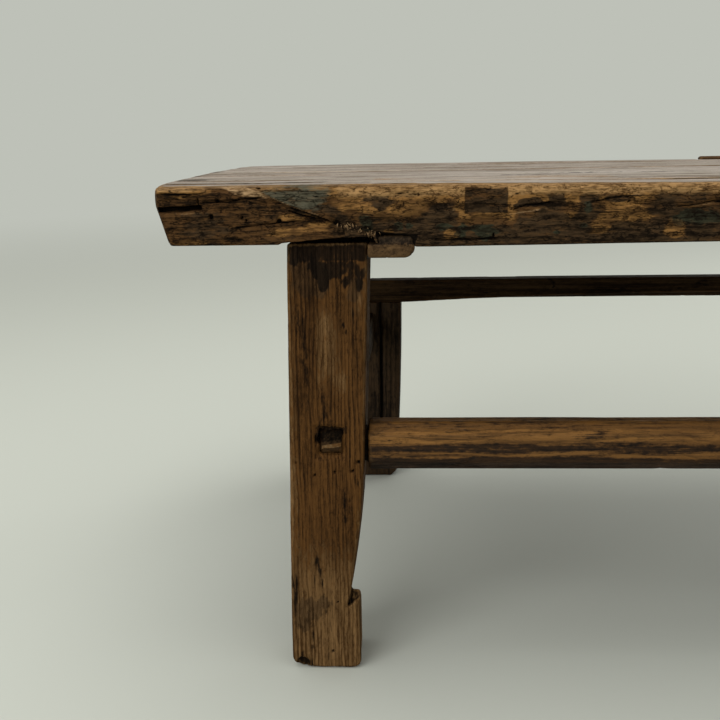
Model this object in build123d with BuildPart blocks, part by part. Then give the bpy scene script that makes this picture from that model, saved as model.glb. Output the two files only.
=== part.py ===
from build123d import *
import math
import os

# Kang table: a low table with a three-board top, two sliding dovetail battens, hoofed front
# legs, plain shouldered rear legs, a front stretcher, a rear rail and two side stretchers.
# Millimetres. +X runs along the table, the front faces -Y, +Z is up. The origin is on the
# floor under the middle of the top.

# Whole table
length = 1210.0                 # along X, at the fullest part of the bowed ends
depth = 600.0                   # along Y, over the top
height = 400.0                  # floor to the upper face of the boards

# Top
top_thickness = 41.5
front_board_width = 88.0
rear_board_width = 236.0
end_front_setback = 36.0        # how far the front corner stands back from the fullest part
end_shoulder_setback = 5.0      # the same at the shoulder, where the end turns more sharply
end_rear_setback = 8.0          # the same at the start of the rear corner's rounding
end_fullest_depth = 390.0       # from the front edge to where the end is fullest
end_shoulder_depth = 180.0      # from the front edge to the shoulder
rear_corner_radius = 46.0
end_undercut_in = 9.0           # the saw ran in under the ends by this much
end_undercut_up = 28.0          # over this height
upper_arris_radius = 3.5

# Legs, as seen from the front; widths are measured inwards from the leg's outer top corner
leg_inset_x = 134.0             # from the fullest part of the end to the leg
leg_inset_y = 12.0              # from the edge of the top to the leg
leg_depth = 56.0
leg_splay = 6.5                 # how far the foot stands out beyond the leg's top
front_leg_top_width = 62.6
front_leg_calf_width = 56.9     # where the straight taper ends and the curve to the ankle starts
front_leg_calf_z = 190.0
ankle_width = 44.6
ankle_z = 72.0
hoof_width = 51.5
hoof_back_slant = 2.5           # the hoof is narrower at the back by this much
hoof_top_fall = 28.0            # the hoof's top falls by this much from front to back
hoof_outer_round = 11.0
hoof_inner_round = 7.0
hoof_notch_depth = 6.0          # the chisel-cut notch between ankle and hoof tip
hoof_notch_drop = 20.0          # its lowest point below the hoof's top
hoof_notch_lip = 8.5            # its lower edge at the hoof's tip, below the hoof's top
hoof_notch_bite = 4.6           # how far it bites into the ankle
rear_leg_shoulder_width = 75.5
rear_leg_belly_width = 72.5
rear_leg_belly_z = 90.0
rear_leg_foot_width = 68.0
rear_foot_chamfer = 7.0         # worn corners at the floor
rear_leg_horn_width = 35.0      # the narrow upper part, above the shoulder
leg_arris_radius = 2.5

# Tenons of the legs in the top
leg_tenon_width = 34.0
horn_tenon_width = 24.0
leg_tenon_depth = 30.0
leg_tenon_height = 27.0

# Battens under the top
batten_width = 36.4
batten_drop = 11.0              # below the underside of the top
batten_setback = 1.5            # ends stand back from the edges of the top
batten_round = 9.0
dovetail_height = 6.5
dovetail_root = 24.0            # width where the tongue leaves the batten
dovetail_flare = 3.0            # how much wider each side is at the top of the tongue
dovetail_shift = 3.8            # from the middle of the batten, away from the legs

# Front stretcher
front_stretcher_z = 190.2       # its middle
front_stretcher_height = 40.0
front_stretcher_depth = 34.0
front_stretcher_setback = 8.0   # behind the front face of the legs
front_stretcher_facet = 9.0
front_stretcher_round = 3.0
shoulder_gap = 3.0              # the shoulders have shrunk away from the legs
stub_tenon_web = 2.7            # wood left between its mortise and the through mortise
stub_tenon_height = 28.0
stub_tenon_thickness = 12.0

# Rear rail
rail_end_height = 28.0
rail_bearing_z = 229.0          # the shoulder of the rear legs, on which the rail bears
rail_arch_rise = 9.5
rail_crown = 1.0                # rise of the upper edge at the middle
rail_thickness = 26.0
rail_tenon_length = 15.0
rail_tenon_height = 20.0
rail_tenon_thickness = 10.0
rail_arris_radius = 2.0

# Side stretchers, with wedged through tenons
side_stretcher_z = 197.5        # their middle, and their tenons'
side_stretcher_width = 22.0
side_stretcher_height = 38.0
side_stretcher_chamfer = 3.0
through_tenon_width = 20.0
through_tenon_height = 21.0
through_tenon_inward = 30.4     # middle of the tenon from the leg's outer top corner
through_tenon_short = 4.0       # its ends stand back from the faces of the legs
wedge_length = 26.0
wedge_width = 16.0
wedge_thick_end = 3.2
wedge_thin_end = 0.8
wedge_below_middle = 4.0

# Dowels between the boards, and the patch in the rear edge
dowel_diameter = 8.0
dowel_length = 52.0
dowel_count = 5
dowel_end_inset = 65.0          # from the fullest part of the end to the last dowel
patch_start_x = -18.0
patch_length = 130.0
patch_width = 14.0
patch_seat_depth = 15.0
patch_proud = 3.0

# Fits
fit = 0.2                       # each side of a tenon, a dowel or a dovetail
end_play = 0.6                  # beyond the end of a blind tenon or dowel
tongue_play = 1.2               # above the dovetail tongue

# Worked out from the above
underside = height - top_thickness
front_y = -depth / 2
rear_y = depth / 2
front_joint_y = front_y + front_board_width
rear_joint_y = rear_y - rear_board_width
leg_outer_x = length / 2 - leg_inset_x
front_leg_y = front_y + leg_inset_y
rear_leg_y = rear_y - leg_inset_y - leg_depth
batten_x = leg_outer_x - front_leg_top_width - fit - batten_width / 2
dovetail_x = batten_x - dovetail_shift
through_mortise_inward = through_tenon_inward + through_tenon_width / 2 + fit
dowel_spacing = (length - 2 * dowel_end_inset) / (dowel_count - 1)
sides = ((-1, "left"), (1, "right"))

os.makedirs("parts", exist_ok=True)


def save(builder, name):
    """Names a finished piece and writes it to its own file."""
    builder.part.label = name
    export_step(builder.part, f"parts/{name}.step")


def facing_front(y):
    """Upright plane along the table at a given y. Its x is the table's x, its y is height."""
    return Plane.XZ.offset(-y)


def inward(side, distance):
    """X of a point inwards from the outer top corner of the legs on one side."""
    return side * (leg_outer_x - distance)


def foot_corner(corners, which):
    """A lowest corner of a leg's outline: 0 for the inner one, -1 for the outer one."""
    return corners.group_by(Axis.Y)[0].sort_by(lambda corner: abs(corner.X))[which]


def plan_of_top(cut_in):
    """Outline of the top: straight long edges, and full bowed ends that are cut in a little."""
    fullest = length / 2 - cut_in
    fullest_y = front_y + end_fullest_depth
    front_corner = fullest - end_front_setback
    shoulder = fullest - end_shoulder_setback
    rear_corner = fullest - end_rear_setback
    round_x = rear_corner - rear_corner_radius
    round_y = rear_y - rear_corner_radius
    slant = rear_corner_radius * math.sqrt(0.5)
    with BuildSketch() as plan:
        with BuildLine():
            Line((-front_corner, front_y), (front_corner, front_y))
            Line((-round_x, rear_y), (round_x, rear_y))
            for side, _ in sides:
                bow = TangentArc(
                    (side * fullest, fullest_y),
                    (side * shoulder, front_y + end_shoulder_depth),
                    tangent=(0, -1),
                )
                TangentArc(bow @ 1, (side * front_corner, front_y), tangent=bow % 1)
                Line((side * fullest, fullest_y), (side * rear_corner, round_y))
                ThreePointArc(
                    (side * rear_corner, round_y),
                    (side * (round_x + slant), round_y + slant),
                    (side * round_x, rear_y),
                )
        make_face()
    return plan.sketch


# The boards were laid together and sawn to one outline. The saw ran in under the ends.
with BuildPart() as top_blank:
    with BuildSketch(Plane.XY.offset(underside)):
        add(plan_of_top(end_undercut_in))
    with BuildSketch(Plane.XY.offset(underside + end_undercut_up)):
        add(plan_of_top(0))
    loft()
    with BuildSketch(Plane.XY.offset(underside + end_undercut_up)):
        add(plan_of_top(0))
    extrude(amount=top_thickness - end_undercut_up)
    fillet(top_blank.faces().sort_by(Axis.Z)[-1].edges(), upper_arris_radius)

# Dovetail slots for the battens, wider at the top than at the underside
slot_root = dovetail_root / 2 + fit
slot_height = dovetail_height + tongue_play
slot_flare = slot_root + dovetail_flare * slot_height / dovetail_height
slot_top = underside + slot_height

with BuildSketch(facing_front(0)) as dovetail_slots:
    for side, _ in sides:
        middle = side * dovetail_x
        with BuildLine():
            Polyline(
                (middle - slot_root, underside),
                (middle - slot_flare, slot_top),
                (middle + slot_flare, slot_top),
                (middle + slot_root, underside),
                close=True,
            )
        make_face()

# Boards. Each row is a board's name, its two edges, the y of the legs whose tenons it takes,
# and the middle and width of those tenons, inwards from the legs' outer top corners.
dowel_xs = [(i - (dowel_count - 1) / 2) * dowel_spacing for i in range(dowel_count)]
dowel_z = underside + top_thickness / 2
dowel_hole_depth = dowel_length / 2 + end_play
patch_x = patch_start_x + patch_length / 2
patch_y = rear_y - patch_width / 2
boards = (
    ("top_board_front", front_y, front_joint_y,
     front_leg_y, front_leg_top_width / 2, leg_tenon_width),
    ("top_board_middle", front_joint_y, rear_joint_y, None, 0, 0),
    ("top_board_rear", rear_joint_y, rear_y,
     rear_leg_y, rear_leg_horn_width / 2, horn_tenon_width),
)

for name, low_y, high_y, leg_y, tenon_inward, tenon_width in boards:
    with BuildPart() as board:
        add(top_blank.part)
        with BuildSketch(Plane.XY.offset(underside)):
            with Locations((0, (low_y + high_y) / 2)):
                Rectangle(length, high_y - low_y)
        extrude(amount=top_thickness, mode=Mode.INTERSECT)

        # Slots for the battens, run through from front to back
        extrude(dovetail_slots.sketch, amount=depth / 2, both=True, mode=Mode.SUBTRACT)

        # Blind mortises for the tenons of the legs
        if leg_y is not None:
            with BuildSketch(Plane.XY.offset(underside)):
                for side, _ in sides:
                    with Locations((inward(side, tenon_inward), leg_y + leg_depth / 2)):
                        Rectangle(tenon_width + 2 * fit, leg_tenon_depth + 2 * fit)
            extrude(amount=leg_tenon_height + end_play, mode=Mode.SUBTRACT)

        # Dowel holes in the edges that meet the next boards
        for joint_y, into_board in ((low_y, 1), (high_y, -1)):
            if joint_y in (front_joint_y, rear_joint_y):
                with BuildSketch(facing_front(joint_y)):
                    with Locations(*[(x, dowel_z) for x in dowel_xs]):
                        Circle(dowel_diameter / 2 + fit)
                extrude(amount=-into_board * dowel_hole_depth, mode=Mode.SUBTRACT)

        # Rebate for the patch that is let into the rear edge
        if high_y == rear_y:
            with BuildSketch(Plane.XY.offset(height)):
                with Locations((patch_x, patch_y)):
                    Rectangle(patch_length, patch_width)
            extrude(amount=-patch_seat_depth, mode=Mode.SUBTRACT)
    save(board, name)

for joint_y, name in ((front_joint_y, "board_dowels_front"), (rear_joint_y, "board_dowels_rear")):
    with BuildPart() as dowels:
        with BuildSketch(facing_front(joint_y)):
            with Locations(*[(x, dowel_z) for x in dowel_xs]):
                Circle(dowel_diameter / 2)
        extrude(amount=dowel_length / 2, both=True)
    save(dowels, name)

with BuildPart() as rear_edge_patch:
    with BuildSketch(Plane.XY.offset(height - patch_seat_depth)):
        with Locations((patch_x, patch_y)):
            Rectangle(patch_length, patch_width)
    extrude(amount=patch_seat_depth + patch_proud)
    chamfer(rear_edge_patch.faces().sort_by(Axis.Z)[-1].edges(), patch_proud / 2)
save(rear_edge_patch, "rear_edge_patch")

# Battens: a dovetail tongue slides in the top, and the lower arris away from the legs is round
for side, word in sides:
    with BuildPart() as batten:
        with BuildSketch(facing_front(0)):
            with Locations((side * batten_x, underside - batten_drop / 2)):
                Rectangle(batten_width, batten_drop)
            low_corners = vertices().group_by(Axis.Y)[0]
            fillet(low_corners.sort_by(lambda corner: abs(corner.X))[0], batten_round)
            middle = side * dovetail_x
            tongue_root = dovetail_root / 2
            tongue_flare = tongue_root + dovetail_flare
            with BuildLine():
                Polyline(
                    (middle - tongue_root, underside),
                    (middle - tongue_flare, underside + dovetail_height),
                    (middle + tongue_flare, underside + dovetail_height),
                    (middle + tongue_root, underside),
                    close=True,
                )
            make_face()
        extrude(amount=depth / 2 - batten_setback, both=True)
    save(batten, f"batten_{word}")


def inner_side_of_leg(side):
    """Inner side of a front leg: a straight taper, then a curve that runs in to the ankle."""
    taper = Line(
        (inward(side, front_leg_top_width), underside),
        (inward(side, front_leg_calf_width), front_leg_calf_z),
    )
    curve = TangentArc(taper @ 1, (inward(side, ankle_width), ankle_z), tangent=taper % 1)
    return taper, curve


# The front stretcher ends short of the inner sides of the legs, and its stub tenons bridge the gap
stretcher_level = Line((0, front_stretcher_z), (leg_outer_x, front_stretcher_z))
leg_face_x = min(
    point.X
    for line in inner_side_of_leg(1)
    for point in stretcher_level.find_intersection_points(line)
)
stretcher_shoulder_x = leg_face_x - shoulder_gap
stub_end_x = leg_outer_x - through_mortise_inward - stub_tenon_web - end_play
stretcher_y = front_leg_y + front_stretcher_setback + front_stretcher_depth / 2
rail_y = rear_leg_y + rail_thickness / 2
rail_tenon_z = rail_bearing_z + rail_end_height / 2
rail_shoulder_x = leg_outer_x - rear_leg_horn_width

# Front legs: a long taper on the inner side, down to a hoof turned inwards. Above the hoof the
# wood is pared away along a line that runs on from the ankle, down to a top that falls backwards.
hoof_back_y = front_leg_y + leg_depth
for side, word in sides:
    ankle_x = inward(side, ankle_width)
    tip_x = inward(side, hoof_width)
    bite_x = ankle_x + side * hoof_notch_bite
    with BuildPart() as pared_away:
        with BuildSketch(facing_front(front_leg_y)):
            with BuildLine():
                Polyline(
                    (ankle_x, ankle_z),
                    (tip_x, ankle_z),
                    (tip_x, ankle_z - hoof_top_fall),
                    (bite_x, ankle_z - hoof_top_fall),
                    (bite_x, ankle_z - hoof_notch_drop),
                    close=True,
                )
            make_face()
        extrude(amount=-leg_depth)
        with BuildSketch(Plane.YZ.offset(bite_x)):
            with BuildLine():
                Polyline(
                    (front_leg_y, ankle_z),
                    (hoof_back_y, ankle_z),
                    (hoof_back_y, ankle_z - hoof_top_fall),
                    close=True,
                )
            make_face()
        extrude(amount=tip_x - bite_x, mode=Mode.INTERSECT)

    with BuildPart() as front_leg:
        with BuildSketch(facing_front(front_leg_y)):
            with BuildLine():
                add(inner_side_of_leg(side))
                Polyline(
                    (inward(side, ankle_width), ankle_z),
                    (inward(side, hoof_width), ankle_z),
                    (inward(side, hoof_width), 0),
                    (inward(side, -leg_splay), 0),
                    (inward(side, 0), underside),
                    (inward(side, front_leg_top_width), underside),
                )
            make_face()
            fillet(foot_corner(vertices(), 0), hoof_inner_round)
            fillet(foot_corner(vertices(), -1), hoof_outer_round)
        extrude(amount=-leg_depth)

        # Long arrises rubbed round, from the shoulder to the floor
        for face in (front_leg.faces().sort_by(Axis.Y)[0], front_leg.faces().sort_by(Axis.Y)[-1]):
            fillet(
                face.edges().filter_by(lambda edge: edge.center().Z < underside - 1),
                leg_arris_radius,
            )

        # The hoof's inner side is cut a little narrower towards the back
        add(pared_away.part, mode=Mode.SUBTRACT)
        with BuildSketch():
            with BuildLine():
                Polyline(
                    (tip_x, front_leg_y),
                    (tip_x, hoof_back_y),
                    (tip_x + side * hoof_back_slant, hoof_back_y),
                    close=True,
                )
            make_face()
        extrude(amount=ankle_z, mode=Mode.SUBTRACT)

        # Notch cut with a chisel between the ankle and the tip of the hoof
        with BuildSketch(facing_front(front_leg_y)):
            with BuildLine():
                Polyline(
                    (ankle_x, ankle_z),
                    (tip_x, ankle_z),
                    (tip_x, ankle_z - hoof_notch_lip),
                    (bite_x, ankle_z - hoof_notch_drop),
                    close=True,
                )
            make_face()
        extrude(amount=-hoof_notch_depth, mode=Mode.SUBTRACT)

        # Tenon into the top
        with BuildSketch(Plane.XY.offset(underside)):
            with Locations((inward(side, front_leg_top_width / 2), front_leg_y + leg_depth / 2)):
                Rectangle(leg_tenon_width, leg_tenon_depth)
        extrude(amount=leg_tenon_height)

        # Through mortise for the side stretcher
        with BuildSketch(facing_front(front_leg_y)):
            with Locations((inward(side, through_tenon_inward), side_stretcher_z)):
                Rectangle(through_tenon_width + 2 * fit, through_tenon_height + 2 * fit)
        extrude(amount=-leg_depth, mode=Mode.SUBTRACT)

        # Blind mortise for the stub tenon of the front stretcher, in the inner side
        with BuildSketch(Plane.YZ.offset(side * (stub_end_x + end_play))):
            with Locations((stretcher_y, front_stretcher_z)):
                Rectangle(stub_tenon_thickness + 2 * fit, stub_tenon_height + 2 * fit)
        extrude(amount=-side * (stub_end_x + end_play - stretcher_shoulder_x), mode=Mode.SUBTRACT)
    save(front_leg, f"leg_front_{word}")

# Rear legs: full width up to the shoulder that bears the rail, and a narrow horn above it
for side, word in sides:
    with BuildPart() as rear_leg:
        with BuildSketch(facing_front(rear_leg_y)):
            with BuildLine():
                ThreePointArc(
                    (inward(side, rear_leg_shoulder_width), rail_bearing_z),
                    (inward(side, rear_leg_belly_width), rear_leg_belly_z),
                    (inward(side, rear_leg_foot_width), 0),
                )
                Polyline(
                    (inward(side, rear_leg_foot_width), 0),
                    (inward(side, -leg_splay), 0),
                    (inward(side, 0), underside),
                    (inward(side, rear_leg_horn_width), underside),
                    (inward(side, rear_leg_horn_width), rail_bearing_z),
                    (inward(side, rear_leg_shoulder_width), rail_bearing_z),
                )
            make_face()
            chamfer(foot_corner(vertices(), 0), rear_foot_chamfer)
            chamfer(foot_corner(vertices(), -1), rear_foot_chamfer)
        extrude(amount=-leg_depth)

        # Long arrises rubbed round, below the shoulder on the inner side
        for face in (rear_leg.faces().sort_by(Axis.Y)[0], rear_leg.faces().sort_by(Axis.Y)[-1]):
            below_shoulder = face.edges().filter_by(lambda edge: edge.center().Z < rail_bearing_z - 1)
            fillet(below_shoulder, leg_arris_radius)

        # Tenon into the top
        with BuildSketch(Plane.XY.offset(underside)):
            with Locations((inward(side, rear_leg_horn_width / 2), rear_leg_y + leg_depth / 2)):
                Rectangle(horn_tenon_width, leg_tenon_depth)
        extrude(amount=leg_tenon_height)

        # Through mortise for the side stretcher
        with BuildSketch(facing_front(rear_leg_y)):
            with Locations((inward(side, through_tenon_inward), side_stretcher_z)):
                Rectangle(through_tenon_width + 2 * fit, through_tenon_height + 2 * fit)
        extrude(amount=-leg_depth, mode=Mode.SUBTRACT)

        # Blind mortise for the tenon of the rail, in the side of the horn
        with BuildSketch(Plane.YZ.offset(side * rail_shoulder_x)):
            with Locations((rail_y, rail_tenon_z)):
                Rectangle(rail_tenon_thickness + 2 * fit, rail_tenon_height + 2 * fit)
        extrude(amount=side * (rail_tenon_length + end_play), mode=Mode.SUBTRACT)
    save(rear_leg, f"leg_rear_{word}")

# Front stretcher: pillow-shaped, with stub tenons
with BuildPart() as stretcher_front:
    with BuildSketch(Plane.YZ):
        with Locations((stretcher_y, front_stretcher_z)):
            Rectangle(front_stretcher_depth, front_stretcher_height)
        chamfer(vertices(), front_stretcher_facet)
        fillet(vertices(), front_stretcher_round)
    extrude(amount=stretcher_shoulder_x, both=True)
    with BuildSketch(Plane.YZ):
        with Locations((stretcher_y, front_stretcher_z)):
            Rectangle(stub_tenon_thickness, stub_tenon_height)
    extrude(amount=stub_end_x, both=True)
save(stretcher_front, "stretcher_front")

# Rear rail: it bears on the shoulders of the rear legs and arches up between them
with BuildPart() as rail_rear:
    bearing_end_x = leg_outer_x - rear_leg_shoulder_width
    rail_end_z = rail_bearing_z + rail_end_height
    with BuildSketch(facing_front(rear_leg_y)):
        with BuildLine():
            ThreePointArc(
                (-rail_shoulder_x, rail_end_z),
                (0, rail_end_z + rail_crown),
                (rail_shoulder_x, rail_end_z),
            )
            ThreePointArc(
                (-bearing_end_x, rail_bearing_z),
                (0, rail_bearing_z + rail_arch_rise),
                (bearing_end_x, rail_bearing_z),
            )
            for side, _ in sides:
                Polyline(
                    (side * rail_shoulder_x, rail_end_z),
                    (side * rail_shoulder_x, rail_bearing_z),
                    (side * bearing_end_x, rail_bearing_z),
                )
        make_face()
    extrude(amount=-rail_thickness)
    long_arcs = rail_rear.edges().filter_by(GeomType.CIRCLE)
    fillet(long_arcs, rail_arris_radius)
    with BuildSketch(Plane.YZ):
        with Locations((rail_y, rail_tenon_z)):
            Rectangle(rail_tenon_thickness, rail_tenon_height)
    extrude(amount=rail_shoulder_x + rail_tenon_length, both=True)
save(rail_rear, "rail_rear")

# Side stretchers: through tenons at both ends, each split by a sawn kerf for its wedge
shoulder_front_y = front_leg_y + leg_depth
tenon_front_y = front_leg_y + through_tenon_short
tenon_rear_y = rear_leg_y + leg_depth - through_tenon_short
wedge_z = side_stretcher_z - wedge_below_middle
tenon_ends = ((tenon_front_y, 1), (tenon_rear_y, -1))


def wedge_outline(end_y, into):
    """Long section of a wedge, driven into the end of a tenon in the direction of its length."""
    with BuildSketch() as outline:
        with BuildLine():
            Polyline(
                (end_y, wedge_z - wedge_thick_end / 2),
                (end_y, wedge_z + wedge_thick_end / 2),
                (end_y + into * wedge_length, wedge_z + wedge_thin_end / 2),
                (end_y + into * wedge_length, wedge_z - wedge_thin_end / 2),
                close=True,
            )
        make_face()
    return outline.sketch


for side, word in sides:
    with BuildPart() as side_stretcher:
        middle_x = inward(side, through_tenon_inward)
        with BuildSketch(facing_front(shoulder_front_y)):
            with Locations((middle_x, side_stretcher_z)):
                Rectangle(side_stretcher_width, side_stretcher_height)
            chamfer(vertices(), side_stretcher_chamfer)
        extrude(amount=shoulder_front_y - rear_leg_y)
        with BuildSketch(facing_front(tenon_front_y)):
            with Locations((middle_x, side_stretcher_z)):
                Rectangle(through_tenon_width, through_tenon_height)
        extrude(amount=tenon_front_y - tenon_rear_y)
        with BuildSketch(Plane.YZ.offset(middle_x)):
            for end_y, into in tenon_ends:
                add(wedge_outline(end_y, into))
        extrude(amount=wedge_width / 2, both=True, mode=Mode.SUBTRACT)
    save(side_stretcher, f"stretcher_{word}")

with BuildPart() as tenon_wedges:
    for side, _ in sides:
        with BuildSketch(Plane.YZ.offset(inward(side, through_tenon_inward))):
            for end_y, into in tenon_ends:
                add(wedge_outline(end_y, into))
        extrude(amount=wedge_width / 2, both=True)
save(tenon_wedges, "tenon_wedges")
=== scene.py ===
import itertools
import math

import bmesh
import bpy
import numpy as np
from bpy.props import FloatProperty, FloatVectorProperty, IntProperty, PointerProperty
from mathutils import Matrix, Vector


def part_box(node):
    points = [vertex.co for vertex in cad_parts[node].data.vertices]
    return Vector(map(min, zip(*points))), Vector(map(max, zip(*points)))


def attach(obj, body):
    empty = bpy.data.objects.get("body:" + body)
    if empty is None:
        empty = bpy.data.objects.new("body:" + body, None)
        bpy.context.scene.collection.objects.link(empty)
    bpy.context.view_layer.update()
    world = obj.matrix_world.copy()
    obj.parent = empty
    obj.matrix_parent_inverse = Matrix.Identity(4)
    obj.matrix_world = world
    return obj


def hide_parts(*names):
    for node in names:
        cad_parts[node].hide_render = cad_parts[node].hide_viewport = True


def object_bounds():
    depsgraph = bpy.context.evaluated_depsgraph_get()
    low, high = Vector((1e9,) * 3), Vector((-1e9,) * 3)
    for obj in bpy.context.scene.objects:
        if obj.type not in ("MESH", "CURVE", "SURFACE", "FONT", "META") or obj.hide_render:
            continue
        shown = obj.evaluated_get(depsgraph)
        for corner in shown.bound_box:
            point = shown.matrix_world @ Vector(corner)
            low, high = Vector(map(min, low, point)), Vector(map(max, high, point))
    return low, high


bl_info = {
    "name": "Old kang table",
    "version": (1, 0, 0),
    "blender": (4, 5, 0),
    "location": "View3D > Sidebar > Kang table",
    "description": "Worn skins, finishes and a studio for a low plank table",
    "category": "Object",
}

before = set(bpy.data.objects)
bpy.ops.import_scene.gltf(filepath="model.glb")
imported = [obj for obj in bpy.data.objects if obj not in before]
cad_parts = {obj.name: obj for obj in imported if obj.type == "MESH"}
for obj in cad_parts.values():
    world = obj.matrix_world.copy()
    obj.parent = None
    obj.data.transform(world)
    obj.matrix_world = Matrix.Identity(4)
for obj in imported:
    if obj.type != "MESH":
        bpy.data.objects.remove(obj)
cad_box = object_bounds()

# The carving functions below work in millimetres. Grain runs along X in the top, the front
# stretcher and the rail, along Y in the battens and side stretchers, and along Z in the legs.
MM = 0.001
TOP_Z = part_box("top_board_front")[1].z / MM
UNDERSIDE_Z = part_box("top_board_front")[0].z / MM
FRONT_Y = cad_box[0][1] / MM
JOINT_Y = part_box("top_board_front")[1].y / MM
# How far in from the legs' outer sides the through tenons lie, and half the width of a wedge
THROUGH_INWARD = 30.4
WEDGE_HALF = 8.0
LEG_OUTER_X = THROUGH_INWARD - WEDGE_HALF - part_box("tenon_wedges")[0].x / MM
# The battens' tongues in the front edge: their middle, half their width at the foot, how much
# wider they grow, and over what height
TONGUE_X, TONGUE_HALF, TONGUE_FLARE, TONGUE_TALL = 386.2, 12.0, 3, 6.5
# Depth of the nail and worm holes, and the width of a nail hole
HOLE_DEPTH, NAIL_WIDTH = 3.5, 2.6
# The mask for hollows paints shade into cracks, holes, gaps and inner corners, over some dirt.
# The mask for stains is mostly dirt, and painted shade at the tops of the front legs and in their
# hoof notches.
MASKS = ("arris", "hollow_shade", "stain_and_shade", "bare", "fresh", "paint", "green", "weathered")


# Sizes and colours that a user may change

def length_property(name, text, millimetres):
    """A length that is shown in the scene's own units."""
    return FloatProperty(name=name, description=text, default=millimetres * MM, min=0.0,
                         unit="LENGTH", precision=5)


def colour_property(name, text, red, green, blue):
    """A colour that is written as it shows on a screen, from 0 to 255, and kept as linear light."""
    linear = [(value / 255 + 0.055) ** 2.4 / 1.055 ** 2.4 if value > 10 else value / 255 / 12.92
              for value in (red, green, blue)]
    return FloatVectorProperty(name=name, description=text, default=linear, min=0.0, max=1.0,
                               size=3, subtype="COLOR")


class KangTableSizes(bpy.types.PropertyGroup):
    """Sizes of the worn surfaces."""

    fine_skin: length_property("Fine skin", "Mesh width on the front legs and stretcher", 1.25)
    plain_skin: length_property("Plain skin", "Mesh width on the pieces at the back", 1.8)
    board_skin: length_property("Board skin", "Mesh width on the boards", 2.9)
    arris_wear: length_property("Arris wear", "How deep the long arrises are worn and nicked", 0.9)
    face_waves: length_property("Face waves", "How deep the low waves of hand planing are", 0.25)
    ledge_drop: length_property("Ledge drop", "How deep the wood has split away under the ledge", 5.5)
    worm_hole: length_property("Worm hole", "Width of a beetle's exit hole", 2.4)
    split_width: length_property("Split width", "Width of the drying split in a rear leg", 3.4)
    joint_gap: length_property("Joint gap", "Widest opening between the front boards", 2.6)
    splinter_length: length_property("Splinter length", "Length of a torn fibre", 4.2)
    splinter_count: IntProperty(name="Splinters", description="Torn fibres along the ledge",
                                default=84, min=1)
    dowel_flutes: IntProperty(name="Dowel facets", description="Facets split on a bamboo dowel",
                              default=9, min=3)


class KangTableColours(bpy.types.PropertyGroup):
    """Colours of the wood and of the studio."""

    top_pale: colour_property("Top, pale", "Weathered bands between the dark rings", 164, 155, 144)
    top_dark: colour_property("Top, dark", "Dark rings of the weathered top", 102, 89, 73)
    edge_brown: colour_property("Edge brown", "Old surface of the hewn edge", 82, 57, 31)
    edge_dark: colour_property("Edge dark", "Dark rings of the hewn edge", 28, 19, 10)
    bare_gold: colour_property("Bare gold", "Wood laid bare by knocks and rubbing", 144, 105, 58)
    bare_brown: colour_property("Bare brown", "Dark fibres of the bare wood", 50, 34, 16)
    fresh_tan: colour_property("Fresh tan", "Wood split or rubbed not long ago", 168, 138, 100)
    fresh_brown: colour_property("Fresh brown", "Dark fibres of that wood", 108, 80, 50)
    arris_gold: colour_property("Arris gold", "Upper arris of the top, rubbed", 168, 132, 86)
    arris_brown: colour_property("Arris brown", "Dark fibres of that arris", 86, 60, 33)
    grime: colour_property("Grime", "Grey-brown grime on the hewn edge", 61, 47, 31)
    grime_dark: colour_property("Grime, dark", "Dark spots in the grime", 24, 17, 10)
    old_paint: colour_property("Old paint", "Grey-green remains of paint", 92, 90, 74)
    old_paint_dark: colour_property("Old paint, dark", "Dirty spots in the paint", 42, 38, 28)
    green: colour_property("Green", "Specks of green paint", 42, 50, 38)
    # Dirt on the frame; on the front legs it also paints the shade under the top and in the hoof
    # notches
    dirt_and_shade: colour_property("Dirt", "Dirt and old lacquer on the frame", 23, 15, 7)
    # Painted shade at the bottom of cracks, holes and gaps, darker than any dirt
    crevice_shade: colour_property("Crevice", "Bottom of cracks and holes", 8, 5, 3)
    leg_light: colour_property("Leg, light", "Light rings of the legs", 86, 57, 26)
    leg_dark: colour_property("Leg, dark", "Dark rings of the legs", 34, 20, 7)
    rubbed: colour_property("Rubbed", "Frame wood, rubbed bright", 126, 97, 62)
    rubbed_dark: colour_property("Rubbed, dark", "Dark fibres of the rubbed wood", 64, 43, 20)
    # The rear legs, rail and side stretchers get darker wood than the front legs: partly their own
    # tone, partly painted shade from under the table
    back_light_shaded: colour_property("Back, light", "Light rings of the rear legs and rail", 58, 42, 24)
    back_dark_shaded: colour_property("Back, dark", "Dark rings of the rear legs and rail", 24, 16, 8)
    stretcher_light: colour_property("Stretcher, light", "Light figure of the stretcher", 104, 71, 33)
    stretcher_dark: colour_property("Stretcher, dark", "Dark figure of the stretcher", 44, 27, 11)
    polished: colour_property("Polished", "Band of the stretcher rubbed golden", 144, 101, 50)
    batten_light: colour_property("Batten, light", "Light rings of the battens", 80, 59, 35)
    batten_dark: colour_property("Batten, dark", "Dark rings of the battens", 36, 25, 13)
    wedge_pale: colour_property("Wedge", "Dry wood of the wedges", 112, 92, 64)
    bamboo: colour_property("Bamboo", "Split bamboo of the dowels", 150, 122, 78)
    floor: colour_property("Floor", "Studio floor", 188, 191, 181)
    backdrop: colour_property("Backdrop", "What the camera sees beyond the floor", 190, 193, 184)


# Noise and shaping, on arrays of points

def lattice(cells, seed):
    """A fixed number from -1 to 1 for each cell of a grid."""
    keys = cells @ np.array((374761393, 668265263, 1442695041)) + seed * 1013904223
    keys = (keys & 0xFFFFFFFF).astype(np.uint64)
    keys = ((keys ^ (keys >> 13)) * 1274126177) & 0xFFFFFFFF
    keys = keys ^ (keys >> 16)
    return keys.astype(float) / 2 ** 31 - 1


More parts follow.
